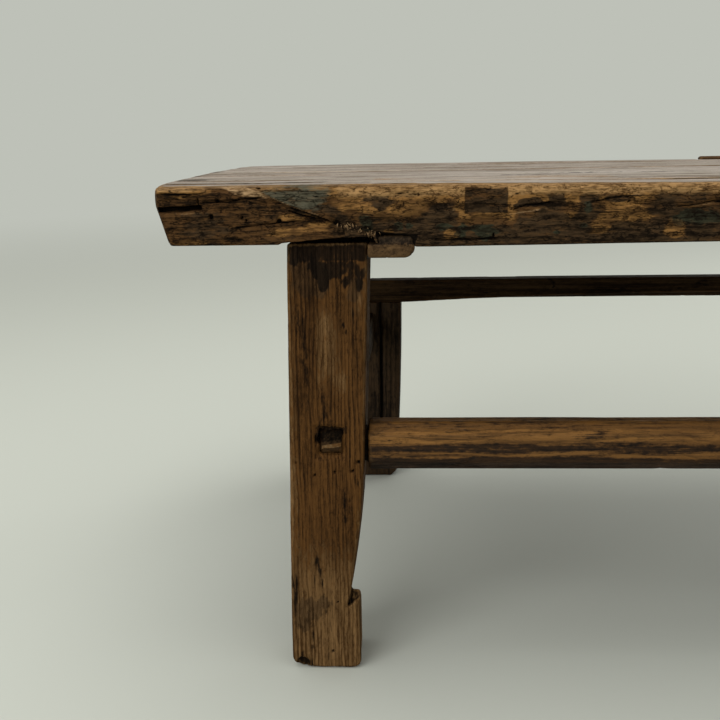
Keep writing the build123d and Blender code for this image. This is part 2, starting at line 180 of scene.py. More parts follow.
def ripple(points, size, seed):
    """Smooth noise from -1 to 1, with its own wavelength along each axis."""
    scaled = points / np.asarray(size, float)
    low = np.floor(scaled)
    part = scaled - low
    part = part * part * (3 - 2 * part)
    cells = low.astype(np.int64)
    total = np.zeros(len(points))
    for corner in itertools.product((0, 1), repeat=3):
        share = np.prod(np.where(corner, part, 1 - part), axis=1)
        total += share * lattice(cells + corner, seed)
    return total


def ripples(points, size, seed, layers=3):
    """Several layers of noise, each half as large and half as strong as the last."""
    return sum(ripple(points * 2 ** i, size, seed + 31 * i) / 2 ** i for i in range(layers))


def fissures(points, size, seed, share=0.12):
    """Sharp lines where the noise passes zero: 1 on the line, 0 away from it."""
    return np.clip(1 - np.abs(ripples(points, size, seed, 2)) / share, 0, 1)


def ramp(value, start, end):
    """Smooth step from 0 at start to 1 at end. It falls where end is below start."""
    part = np.clip((value - start) / (end - start), 0, 1)
    return part * part * (3 - 2 * part)


def from_line(u, v, line):
    """Distance from each point to a broken line, and how far along the line the nearest spot is."""
    nearest = np.full(len(u), np.inf)
    along = np.zeros(len(u))
    for i, ((u0, v0), (u1, v1)) in enumerate(itertools.pairwise(line)):
        du, dv = u1 - u0, v1 - v0
        part = np.clip(((u - u0) * du + (v - v0) * dv) / (du * du + dv * dv), 0, 1)
        reach = np.hypot(u - u0 - part * du, v - v0 - part * dv)
        closer = reach < nearest
        nearest = np.where(closer, reach, nearest)
        along = np.where(closer, (i + part) / (len(line) - 1), along)
    return nearest, along


def blot(u, v, middle_u, middle_v, half_u, half_v, ragged, corners=2):
    """A soft spot with a ragged outline. More corners bring it nearer to a rectangle."""
    reach = (np.abs((u - middle_u) / half_u) ** corners
             + np.abs((v - middle_v) / half_v) ** corners) ** (1 / corners)
    return ramp(reach + ragged, 1.3, 0.75)


def blots(u, v, rows, ragged):
    """Spots with ragged outlines. Each row is a middle, a half size and how square the spot is."""
    total = np.zeros_like(u)
    for row in rows:
        total = np.maximum(total, blot(u, v, *row[:4], ragged, row[4]))
    return total


def patch(u, v, low_u, high_u, low_v, high_v, soft):
    """A rectangle with soft sides: 1 inside, 0 outside."""
    sides = (ramp(u, low_u - soft, low_u + soft), ramp(u, high_u + soft, high_u - soft),
             ramp(v, low_v - soft, low_v + soft), ramp(v, high_v + soft, high_v - soft))
    return sides[0] * sides[1] * sides[2] * sides[3]


class Carving:
    """The points of one piece in millimetres, and the masks that its material reads."""

    def __init__(self, mesh):
        self.mesh = mesh
        self.refresh()
        self.masks = {name: np.zeros(len(self.points)) for name in MASKS}
        edges = np.empty(len(mesh.edges) * 2, np.int32)
        mesh.edges.foreach_get("vertices", edges)
        self.edges = edges.reshape(-1, 2)
        self.box = (self.points.min(0), self.points.max(0))

    def refresh(self):
        """Reads points and normals from the mesh."""
        count = len(self.mesh.vertices)
        points = np.empty(count * 3, np.float32)
        self.mesh.vertices.foreach_get("co", points)
        self.points = points.reshape(-1, 3).astype(float) / MM
        normals = np.empty(count * 3, np.float32)
        self.mesh.vertex_normals.foreach_get("vector", normals)
        self.normals = normals.reshape(-1, 3).astype(float)

    def write(self):
        """Puts the points back, and stores the masks on the mesh."""
        self.mesh.vertices.foreach_set("co", (self.points * MM).astype(np.float32).ravel())
        self.mesh.update()
        for name, values in self.masks.items():
            layer = self.mesh.attributes.get(name)
            layer = layer or self.mesh.attributes.new(name, "FLOAT", "POINT")
            layer.data.foreach_set("value", np.clip(values, 0, 1).astype(np.float32))

    def sink(self, depth):
        """Moves the points in, against their normals."""
        self.points -= self.normals * depth[:, None]

    def mask(self, name, values):
        """Adds to a mask where the new value is stronger."""
        self.masks[name] = np.maximum(self.masks[name], values)

    def smoothed(self, rounds):
        """The points, each pulled towards the mean of its neighbours again and again."""
        points = self.points.copy()
        first, second = self.edges.T
        count = len(points)
        links = np.bincount(self.edges.ravel(), minlength=count)[:, None]
        for _ in range(rounds):
            total = np.stack([np.bincount(first, points[second, k], count)
                              + np.bincount(second, points[first, k], count) for k in range(3)], 1)
            points = (points + total / links) / 2
        return points

    def wear(self, sizes, seed, grain, rounds=8, depth=1.0, spared=0.0):
        """Rounds and nicks the arrises, gives the faces low waves along the grain, and paints shade
        into inner corners. Where spared is 1 the arrises stay sharp and no shade is painted."""
        pulled = self.smoothed(rounds)
        ridge = ((self.points - pulled) * self.normals).sum(1)
        reach = max(np.percentile(ridge, 99.5), 1e-6)
        arris = ramp(ridge, 0.12 * reach, 0.8 * reach) * (1 - spared)
        across = np.where(np.arange(3) == grain, 55.0, 11.0)
        uneven = ripples(self.points, across, seed)
        nicks = ramp(ripples(self.points, across * 0.45, seed + 5), 0.35, 0.9)
        waves = ripples(self.points, np.where(np.arange(3) == grain, 90.0, 22.0), seed + 9)
        wear = sizes.arris_wear / MM * depth
        cut = arris * wear * (0.45 + 0.35 * uneven + 0.9 * nicks)
        cut += sizes.face_waves / MM * depth * (0.3 + waves) * (1 - arris)
        self.sink(np.clip(cut, 0, None) - 0.3)
        self.mask("arris", arris * (0.75 + 0.35 * uneven))
        # Inner corners are darkened in colour: painted shade.
        self.mask("hollow_shade", ramp(-ridge, 0.35 * reach, reach) * 0.45 * (1 - spared))

    def holes(self, centres, width):
        """Round holes in the faces that look to the front, darkened inside with painted shade. Each
        row is X, Z and a scale.
        """
        facing = self.normals[:, 1] < -0.5
        for x, z, scale in centres:
            reach = np.hypot(self.points[:, 0] - x, self.points[:, 2] - z)
            reach = reach * (1 + 0.35 * ripple(self.points, (1.7, 1.7, 1.7), int(abs(x))))
            dip = ramp(reach, width * scale * 0.65, width * scale * 0.3) * facing
            self.points[:, 1] += dip * HOLE_DEPTH
            self.mask("hollow_shade", dip)

    def keep_in_box(self):
        """No point leaves the box that the piece was cut from."""
        self.points = np.clip(self.points, *self.box)


# Skins

def skin(name, node, width, fine=None):
    """A closed, even mesh over a copy of a node. Each of the fine functions picks where its faces
    are divided once more."""
    source = bmesh.new()
    source.from_mesh(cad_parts[node].data)
    bmesh.ops.remove_doubles(source, verts=source.verts, dist=1e-5)
    mesh = bpy.data.meshes.new(name)
    source.to_mesh(mesh)
    source.free()
    piece = bpy.data.objects.new(name, mesh)
    bpy.context.scene.collection.objects.link(piece)
    remesh = piece.modifiers.new("Skin", "REMESH")
    remesh.mode = "VOXEL"
    remesh.voxel_size = width
    graph = bpy.context.evaluated_depsgraph_get()
    piece.data = bpy.data.meshes.new_from_object(piece.evaluated_get(graph))
    piece.modifiers.clear()
    for finer in fine or ():
        divided = bmesh.new()
        divided.from_mesh(piece.data)
        divided.verts.ensure_lookup_table()
        points = np.array([vertex.co for vertex in divided.verts]) / MM
        chosen = finer(*points.T)
        edges = [edge for edge in divided.edges
                 if chosen[edge.verts[0].index] and chosen[edge.verts[1].index]]
        bmesh.ops.subdivide_edges(divided, edges=edges, cuts=1, use_grid_fill=True)
        bmesh.ops.triangulate(divided, faces=[f for f in divided.faces if len(f.verts) > 4])
        divided.to_mesh(piece.data)
        divided.free()
    piece.data.name = name
    return piece


def finish_piece(piece, material, slot, *nodes):
    """Smooth shading and a material, on the table's one body, in the place of its nodes."""
    piece.data.materials.clear()
    piece.data.materials.append(material)
    piece.data.shade_smooth()
    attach(piece, "root")
    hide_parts(*nodes)


# Shading

def node_group(name, inputs, outputs):
    """An empty shader group with its sockets. Each row is a name, a socket kind and a default."""
    group = bpy.data.node_groups.new(name, "ShaderNodeTree")
    for in_out, rows in (("INPUT", inputs), ("OUTPUT", outputs)):
        for label, kind, default in rows:
            socket = group.interface.new_socket(label, in_out=in_out, socket_type=kind)
            if default is not None:
                socket.default_value = default
    return group, Net(group)


class Net:
    """Short ways to add and join the nodes of one tree."""

    def __init__(self, tree):
        self.tree = tree

    def add(self, kind, inputs=None, **settings):
        """Adds a node, sets its own settings, then joins or sets its inputs."""
        node = self.tree.nodes.new(kind)
        for key, value in settings.items():
            setattr(node, key, value)
        for key, value in (inputs or {}).items():
            if isinstance(value, bpy.types.NodeSocket):
                self.tree.links.new(value, node.inputs[key])
            else:
                node.inputs[key].default_value = value
        return node

    def math(self, operation, *values):
        """A math node's result."""
        return self.add("ShaderNodeMath", dict(enumerate(values)), operation=operation).outputs[0]

    def mix(self, factor, first, second):
        """A colour between two colours."""
        node = self.add("ShaderNodeMix", data_type="RGBA")
        for key, value in ((0, factor), (6, first), (7, second)):
            if isinstance(value, bpy.types.NodeSocket):
                self.tree.links.new(value, node.inputs[key])
            else:
                node.inputs[key].default_value = value if key == 0 else (*value, 1)
        return node.outputs[2]

    def span(self, value, low, high, to_low=0.0, to_high=1.0):
        """A value carried smoothly from one range to another."""
        inputs = {0: value, 1: low, 2: high, 3: to_low, 4: to_high}
        return self.add("ShaderNodeMapRange", inputs, interpolation_type="SMOOTHSTEP").outputs[0]

    def noise(self, vector, scale, detail=3.0, roughness=0.55):
        """A noise texture's value, less its mean."""
        inputs = {"Vector": vector, "Scale": scale, "Detail": detail, "Roughness": roughness}
        return self.math("SUBTRACT", self.add("ShaderNodeTexNoise", inputs).outputs[0], 0.5)

    def stretched(self, vector, factors):
        """A vector with each part multiplied."""
        inputs = {0: vector, 1: factors}
        return self.add("ShaderNodeVectorMath", inputs, operation="MULTIPLY").outputs[0]


def make_grain_group():
    """Growth rings round a pith that runs along Z, with fibres, pores and clouds along them."""
    group, net = node_group(
        "grain",
        [("Vector", "NodeSocketVector", None), ("Ring width", "NodeSocketFloat", 0.004),
         ("Wander", "NodeSocketFloat", 0.01), ("Ring share", "NodeSocketFloat", 0.3),
         ("Wrinkle share", "NodeSocketFloat", 1.0)],
        [("Tone", "NodeSocketFloat", None), ("Calm tone", "NodeSocketFloat", None),
         ("Pores", "NodeSocketFloat", None), ("Breakup", "NodeSocketFloat", None),
         ("Height", "NodeSocketFloat", None), ("Calm height", "NodeSocketFloat", None)],
    )
    given = net.add("NodeGroupInput").outputs
    place = given["Vector"]
    slow = net.noise(net.stretched(place, (1, 1, 0.12)), 16, 2)
    quiver = net.noise(net.stretched(place, (1, 1, 0.3)), 60, 2)
    wander = net.math("MULTIPLY_ADD", quiver, 0.25, slow)
    wander = net.math("MULTIPLY", wander, given["Wander"])
    parts = net.add("ShaderNodeSeparateXYZ", {0: place}).outputs
    square = net.math("ADD", net.math("MULTIPLY", parts[0], parts[0]),
                      net.math("MULTIPLY", parts[1], parts[1]))
    radius = net.math("ADD", net.math("SQRT", square), wander)
    turn = net.math("FRACT", net.math("DIVIDE", radius, given["Ring width"]))
    late = net.math("MULTIPLY", net.span(turn, 0.3, 0.88), net.span(turn, 1.0, 0.93))
    faint = net.noise(net.stretched(place, (1, 1, 0.2)), 45, 2)
    late = net.math("MULTIPLY", late, net.span(faint, -0.18, 0.12))
    streak = net.noise(net.stretched(place, (1, 1, 0.05)), 210, 3, 0.6)
    fibre = net.noise(net.stretched(place, (1, 1, 0.03)), 760, 4, 0.7)
    pores = net.span(net.noise(net.stretched(place, (1, 1, 0.05)), 1300, 2), 0.08, 0.2)
    cloud = net.noise(net.stretched(place, (1, 1, 0.35)), 22, 5, 0.62)
    wrinkle = net.noise(net.stretched(place, (1, 1, 0.42)), 300, 5, 0.68)
    vein = net.math("ABSOLUTE", net.noise(net.stretched(place, (1, 1, 0.3)), 150, 4, 0.62))
    veins = net.math("MULTIPLY", net.span(vein, 0.0, 0.022, 1.0, 0.0), given["Wrinkle share"])
    figure = net.math("MULTIPLY", late, given["Ring share"])
    wrinkled = net.math("MULTIPLY", wrinkle, given["Wrinkle share"])

    def blend(start, *rows):
        """A number, plus a share of each value."""
        total = start
        for value, share in rows:
            total = net.math("MULTIPLY_ADD", value, share, total)
        return total

    long_streak = net.noise(net.stretched(place, (1, 1, 0.012)), 120, 4, 0.65)
    even_tone = blend(0.36, (figure, 1), (streak, 1.1), (fibre, 1.3), (cloud, 1.2))
    even_height = blend(0.5, (figure, 0.6), (fibre, 1.0), (streak, 0.5), (pores, -0.25))
    tone = blend(even_tone, (wrinkled, 1.5), (veins, 0.3))
    calm = blend(even_tone, (long_streak, 2.0), (cloud, -0.5), (wrinkle, 0.5))
    breakup = blend(0.0, (fibre, 1.3), (cloud, 0.8), (wrinkle, 1.9))
    net.add("NodeGroupOutput", {
        "Tone": net.span(tone, 0.0, 1.0), "Calm tone": net.span(calm, 0.05, 0.95), "Pores": pores,
        "Breakup": breakup, "Height": blend(even_height, (wrinkled, 1.3), (veins, -0.5)),
        "Calm height": blend(even_height, (long_streak, 1.2), (wrinkle, 0.2))})
    return group


def make_layer_group():
    """Lays a light and a dark colour over another where a mask and a ragged noise agree."""
    group, net = node_group(
        "ragged_layer",
        [("Colour", "NodeSocketColor", None), ("Light", "NodeSocketColor", None),
         ("Dark", "NodeSocketColor", None), ("Tone", "NodeSocketFloat", 0.5),
         ("Mask", "NodeSocketFloat", 0.0), ("Breakup", "NodeSocketFloat", 0.0),
         ("Strength", "NodeSocketFloat", 1.0)],
        [("Colour", "NodeSocketColor", None)],
    )
    given = net.add("NodeGroupInput").outputs
    edge = net.math("ADD", given["Breakup"], given["Mask"])
    cover = net.math("MULTIPLY", net.span(edge, 0.12, 0.8), given["Strength"])
    cover = net.math("MULTIPLY", cover, net.span(given["Mask"], 0.0, 0.2))
    layer = net.mix(given["Tone"], given["Light"], given["Dark"])
    net.add("NodeGroupOutput", {"Colour": net.mix(cover, given["Colour"], layer)})
    return group


def turned(axis):
    """Angles that turn a pattern along Z so that it runs along another axis."""
    return {0: (0, math.radians(90), 0), 1: (math.radians(90), 0, 0), 2: (0, 0, 0)}[axis]


def shared(name, make):
    """A node group that is made once."""
    return bpy.data.node_groups.get(name) or make()


def wood(name, light, dark, axis, pith, rings, layers, relief=0.35, roughness=0.7, gloss=0.1,
         wrinkles=0.6):
    """Old wood. The pith is where the rings centre, in millimetres. The rings are their width, how
    far they wander and how dark they are. Each layer is a mask, two colours and a strength."""
    material = bpy.data.materials.new(name)
    material.use_nodes = True
    tree = material.node_tree
    tree.nodes.clear()
    net = Net(tree)
    place = net.add("ShaderNodeTexCoord").outputs["Object"]
    centred = net.add("ShaderNodeVectorMath", {0: place, 1: [-p * MM for p in pith]},
                      operation="ADD").outputs[0]
    along = net.add("ShaderNodeMapping", {"Vector": centred, "Rotation": turned(axis)}).outputs[0]
    grain = net.add("ShaderNodeGroup", node_tree=shared("grain", make_grain_group))
    tree.links.new(along, grain.inputs["Vector"])
    grain.inputs["Ring width"].default_value = rings[0] * MM
    grain.inputs["Wander"].default_value = rings[1] * MM
    grain.inputs["Ring share"].default_value = rings[2]
    grain.inputs["Wrinkle share"].default_value = wrinkles
    tone, calm, pores, breakup, height, calm_height = grain.outputs
    colour = net.mix(tone, light, dark)
    for mask, layer_light, layer_dark, strength in layers:
        value = net.add("ShaderNodeAttribute", attribute_name=mask).outputs["Fac"]
        if mask == "weathered":
            rise = net.math("SUBTRACT", calm_height, height)
            height = net.math("MULTIPLY_ADD", rise, value, height)
        layer = net.add("ShaderNodeGroup", node_tree=shared("ragged_layer", make_layer_group))
        shade = calm if mask == "weathered" else tone
        for key, socket in (("Colour", colour), ("Tone", shade), ("Mask", value),
                            ("Breakup", breakup)):
            tree.links.new(socket, layer.inputs[key])
        layer.inputs["Light"].default_value = (*layer_light, 1)
        layer.inputs["Dark"].default_value = (*layer_dark, 1)
        layer.inputs["Strength"].default_value = strength
        colour = layer.outputs["Colour"]
    colour = net.mix(net.math("MULTIPLY", pores, 0.45), colour, [part * 0.4 for part in dark])
    bump = net.add("ShaderNodeBump", {"Strength": 1.0, "Distance": relief * MM, "Height": height})
    rough = net.span(tone, 0.0, 1.0, roughness - 0.1, roughness + 0.16)
    shader = net.add("ShaderNodeBsdfPrincipled", {
        "Base Color": colour, "Roughness": rough, "Normal": bump.outputs[0],
        "Specular IOR Level": gloss})
    output = net.add("ShaderNodeOutputMaterial")
    tree.links.new(shader.outputs[0], output.inputs["Surface"])
    return material


# The top

# X where the joint behind the front board begins to open, and where it is shut again
JOINT_OPENS, JOINT_SHUT = -178, 420
# Places on the front edge are X and Z, in millimetres. Lines are broken lines through such places.
LEFT_END_X = -424                   # the split left end of the edge ends here
LEDGE = ((-503, 406), (-497, 403), (-487.2, 397), (-473, 390.4), (-459, 384.8), (-446.6, 380.6),
         (-434, 375.8), (-425, 371))
TORN_EDGE = ((-430, 375.5), (-417, 371.5), (-400, 366))
END_SLOT = (-570, -535, 384.4, 388.4)
CRACKS = (
    ((-537.5, 396), (-537, 388)),
    ((-538, 391), (-516, 392.2), (-500, 394), (-478, 396.2)),
    ((-512, 371.5), (-497, 373.5), (-474, 375.2), (-450, 378)),
    ((-569, 399), (-552, 398), (-530, 398.6)),
    ((-470, 385), (-452, 378.5), (-440, 376)),
    ((-465, 383), (-446, 377.5)),
    ((-360, 362), (-330, 361), (-300, 362.5)),
    ((-300, 383), (-284, 387), (-262, 389)),
    ((-241, 388), (-225, 391.5), (-204, 393)),
    ((-180, 384), (-150, 387), (-118, 389)),
    ((-60, 372), (-20, 375), (32, 374)),
    ((95, 390), (131, 386.5), (176, 388)),
    ((240, 369), (290, 371.5), (322, 370)),
    ((560, 381), (512, 383.5), (470, 382)),
)
NAIL_HOLES = ((-522.5, 390.6, 1.1), (-527.6, 379.2, 1.5), (-503.7, 378.4, 0.8), (-500.7, 376.4, 0.7),
              (-475.3, 375.5, 1.3), (-490.8, 400.2, 1.6), (-312, 366, 0.7),
              (222, 379, 1.2), (436, 371, 1.0), (512, 392, 1.1))
SCRATCHES = (
    ((-300, 380), (-281, 382.8), (-262, 384.9)),
    ((-273, 371.6), (-261, 373.6)),
    ((-213, 392.8), (-200, 394.4)),
    ((-173, 384.6), (-139, 386.8)),
    ((-349, 379.5), (-339, 386)),
    ((-40, 383), (6, 386.4)),
    ((150, 376), (184, 378.5)),
    ((330, 387), (352, 390)),
)
# Spots: middle and half size in X and Z, then how square the outline is
GRIME_SPOTS = ((-402, 392, 12, 5.6, 2), (-362, 397, 13, 2.6, 2), (-350, 383, 10, 6.6, 2),
               (-288, 388, 8, 3.4, 3), (-287, 378, 8, 3.7, 3),
               (-265, 389, 6.5, 8, 3), (-281, 389, 8, 3.3, 2), (-240, 392, 7.5, 3.6, 2),
               (-243, 379, 5, 8.6, 3), (-222, 391, 9, 2.4, 2), (-186, 385, 11, 7.2, 2),
               (-168, 391, 14, 4.8, 2), (-532, 374, 17, 10, 2), (-446, 386, 20, 5.5, 2),
               (-428, 369, 9, 9, 2))
BARE_SPOTS = ((-551, 400, 19, 3.4, 2), (-466, 379.5, 9, 2.6, 2), (-478, 366, 7, 1.6, 2),
              (-467, 368.6, 16, 2.2, 2), (-440, 372, 11, 3.4, 2), (-541, 361.5, 22, 2, 2),
              (-431, 393, 7, 9, 2), (-233, 371, 8, 5, 2), (-212, 380, 25, 7, 2), (-254, 386, 6, 8, 2),
              (-178, 367, 10, 6, 2), (-391, 368, 4, 2, 2), (-344, 365, 5, 4.6, 2))
SQUARE_PATCH = (-334, -301.5, 381, 400.6)
PAINT_SPOT = (-461, 395, 29, 10.5)
FACET = (-504, 400.4, 19, 3.6)
SLOT_LIP = (-545, 383.6, 11, 0.9)
# Broken away under the edge, above the shoulder of the left leg: X and how far up it goes
BROKEN_UNDER = ((-477, 358.5), (-474, 359.7), (-455, 361.4), (-430, 363.3), (-404, 363.8),
                (-401, 358.5))
# The colours of the edge run on over the flat upper face, in colour only and with no change of
# shape, as far as this height is reached: X and Z. Each millimetre further in counts as EDGE_SLOPE
# of height, so the band is widest at the left end.
EDGE_SLOPE = 0.052
STRIP_TOP = ((-600, 404.4), (-500, 404.4), (-436, 404.2), (-360, 403.9), (-165, 401.8), (600, 401.4))
GREEN_SPOTS = ((-410, 376, 8, 5.4, 2), (-384, 372, 3, 3, 2), (-376, 372, 2.5, 2, 2),
               (-348, 371, 6, 2.2, 2), (-336, 367, 4, 5, 2), (-320, 368, 10, 3.8, 2),
               (-319, 363, 2.5, 3, 2), (-159, 375, 16, 5.6, 2), (-242, 382, 3.4, 4, 2),
               (-265, 366, 3, 1.6, 2), (-244, 371, 3, 2.2, 2))
BARE_EDGE = ((-436, 383.4), (-425, 381.7), (-413, 380), (-394, 377.5), (-375, 377.3), (-368, 381),
             (-359, 386.9), (-344, 386.7), (-338, 374), (-329, 373.2), (-320, 375.1), (-298, 374.1),
             (-293, 383.7), (-272, 385.7), (-258, 384.8), (-254, 378), (-247, 387.6), (-233, 387.4),
             (-224, 385.1), (-204, 385.5), (-195, 390.6), (-177, 391.8), (-167, 382.8), (-145, 385))


def warp(points):
    """How far the boards have moved as they dried: the front left corner has risen, and the front
    edge hangs lower right of the left batten."""
    x, y, z = points.T
    height = np.clip((z - UNDERSIDE_Z) / (TOP_Z - UNDERSIDE_Z), 0, 1)
    risen = np.interp(x, (-600, -360, -165, 600), (3.0, 3.0, 1.3, 1.0))
    risen = risen * np.interp(y, (FRONT_Y, JOINT_Y, -60), (1, 0.56, 0))
    hangs = ramp(x, -402, -378) * np.interp(x, (-360, -150, 0), (2.6, 1.2, 0))
    return risen * height - hangs * ramp(y, JOINT_Y, FRONT_Y + 40) * (1 - height)


def colour_hewn_edge(work, flat, front, ledge_z):
    """Bare wood above, grime below and in spots, and what is left of the paint. It gives back where
    the square dark patch lies."""
    x, _, z = flat.T
    left = ramp(x, LEFT_END_X, LEFT_END_X - 12)
    ragged = 0.45 * ripples(flat, (11, 9, 5), 47, 4)
    bare_from = np.interp(x, *zip(*BARE_EDGE)) + 5.5 * ripples(
        flat * (1, 0, 0), (34, 9, 9), 49) * ramp(x, -150, -130)
    patchy = ripples(flat, (15, 9, 3.2), 63, 4)
    bare = ramp(z + 6 * ragged, bare_from - 4, bare_from + 7) * (1 - left)
    bare = bare * np.clip(0.72 + 0.5 * patchy, 0, 1)
    below = ramp(z + 6 * ragged, bare_from + 1, bare_from - 6) * (1 - left)
    bare = np.maximum(bare, 0.5 * (1 - left) * ramp(ripples(flat, (26, 9, 7), 51), 0.35, 0.9))
    grime = np.maximum(0.8 * below, 0.4 * left * ramp(ripples(flat, (48, 9, 14), 59), 0.1, 0.8))
    right_side = ramp(x, -150, -135)
    spread = right_side * ramp(ripples(flat, (24, 9, 12), 57, 4), 0.12, 0.5)
    for row in BARE_SPOTS:
        spot = blot(x, z, *row[:4], ragged, row[4])
        bare = np.maximum(bare, spot * np.clip(0.75 + 0.5 * patchy, 0, 1))
        grime = grime * (1 - 0.8 * spot)
    spread = np.maximum(spread, blots(x, z, GRIME_SPOTS, ragged))
    spread = spread * ramp(z + 5 * ragged, 401, 396)
    square = patch(x + 0.8 * ragged, z + 1.5 * ragged, *SQUARE_PATCH, 0.7)
    spread = np.maximum(spread, square * np.clip(0.9 + 0.3 * patchy, 0, 1))
    grime = np.maximum(grime, spread * (0.78 + 0.35 * patchy))
    bare = bare * (1 - 0.7 * spread)
    for low_x in SQUARE_PATCH[:2]:
        beside = patch(x + ragged, z, low_x - 5, low_x + 5, 377, 402, 1.5)
        bare = np.maximum(bare, 0.9 * beside * (1 - square))
    work.mask("bare", bare * front)
    work.mask("stain_and_shade", grime * front)
    paint = blot(x, z, *PAINT_SPOT, 0.6 * ragged) * (z > ledge_z + 1) * ramp(x, -430, -442)
    work.mask("paint", paint * (0.85 + 0.3 * patchy) * front)
    facet = blot(x, z + 0.25 * (x - FACET[0]), *FACET, 0.4 * ragged)
    lip = np.abs(z - ledge_z - 0.9) < 0.9 + 0.4 * patchy
    lip = lip * ramp(x, -500, -490) * ramp(x, -436, -448)
    fresh = np.maximum(facet * (z < ledge_z + 0.5), 0.55 * lip)
    middle_x, middle_z, half_x, half_z = SLOT_LIP
    slot_lip = np.hypot((x - middle_x) / half_x, (z - middle_z) / half_z)
    fresh = np.maximum(fresh, 0.4 * ramp(slot_lip, 1.3, 0.8))
    for line in SCRATCHES:
        reach, along = from_line(x, z + 0.3 * ragged, line)
        fresh = np.maximum(fresh, 0.55 * ramp(reach, 1.2, 0.3) * ramp(along, 1.02, 0.6))
    work.mask("fresh", fresh * front)
    work.masks["hollow_shade"] *= 1 - 0.85 * facet * (z < ledge_z + 0.5) * front
    green = 0.9 * right_side * ramp(ripples(flat, (9, 9, 5), 61, 4), 0.65, 1.0) * below
    green = np.maximum(green, 0.85 * blots(x, z, GREEN_SPOTS, 1.4 * ragged))
    work.mask("green", green * front)
    return square


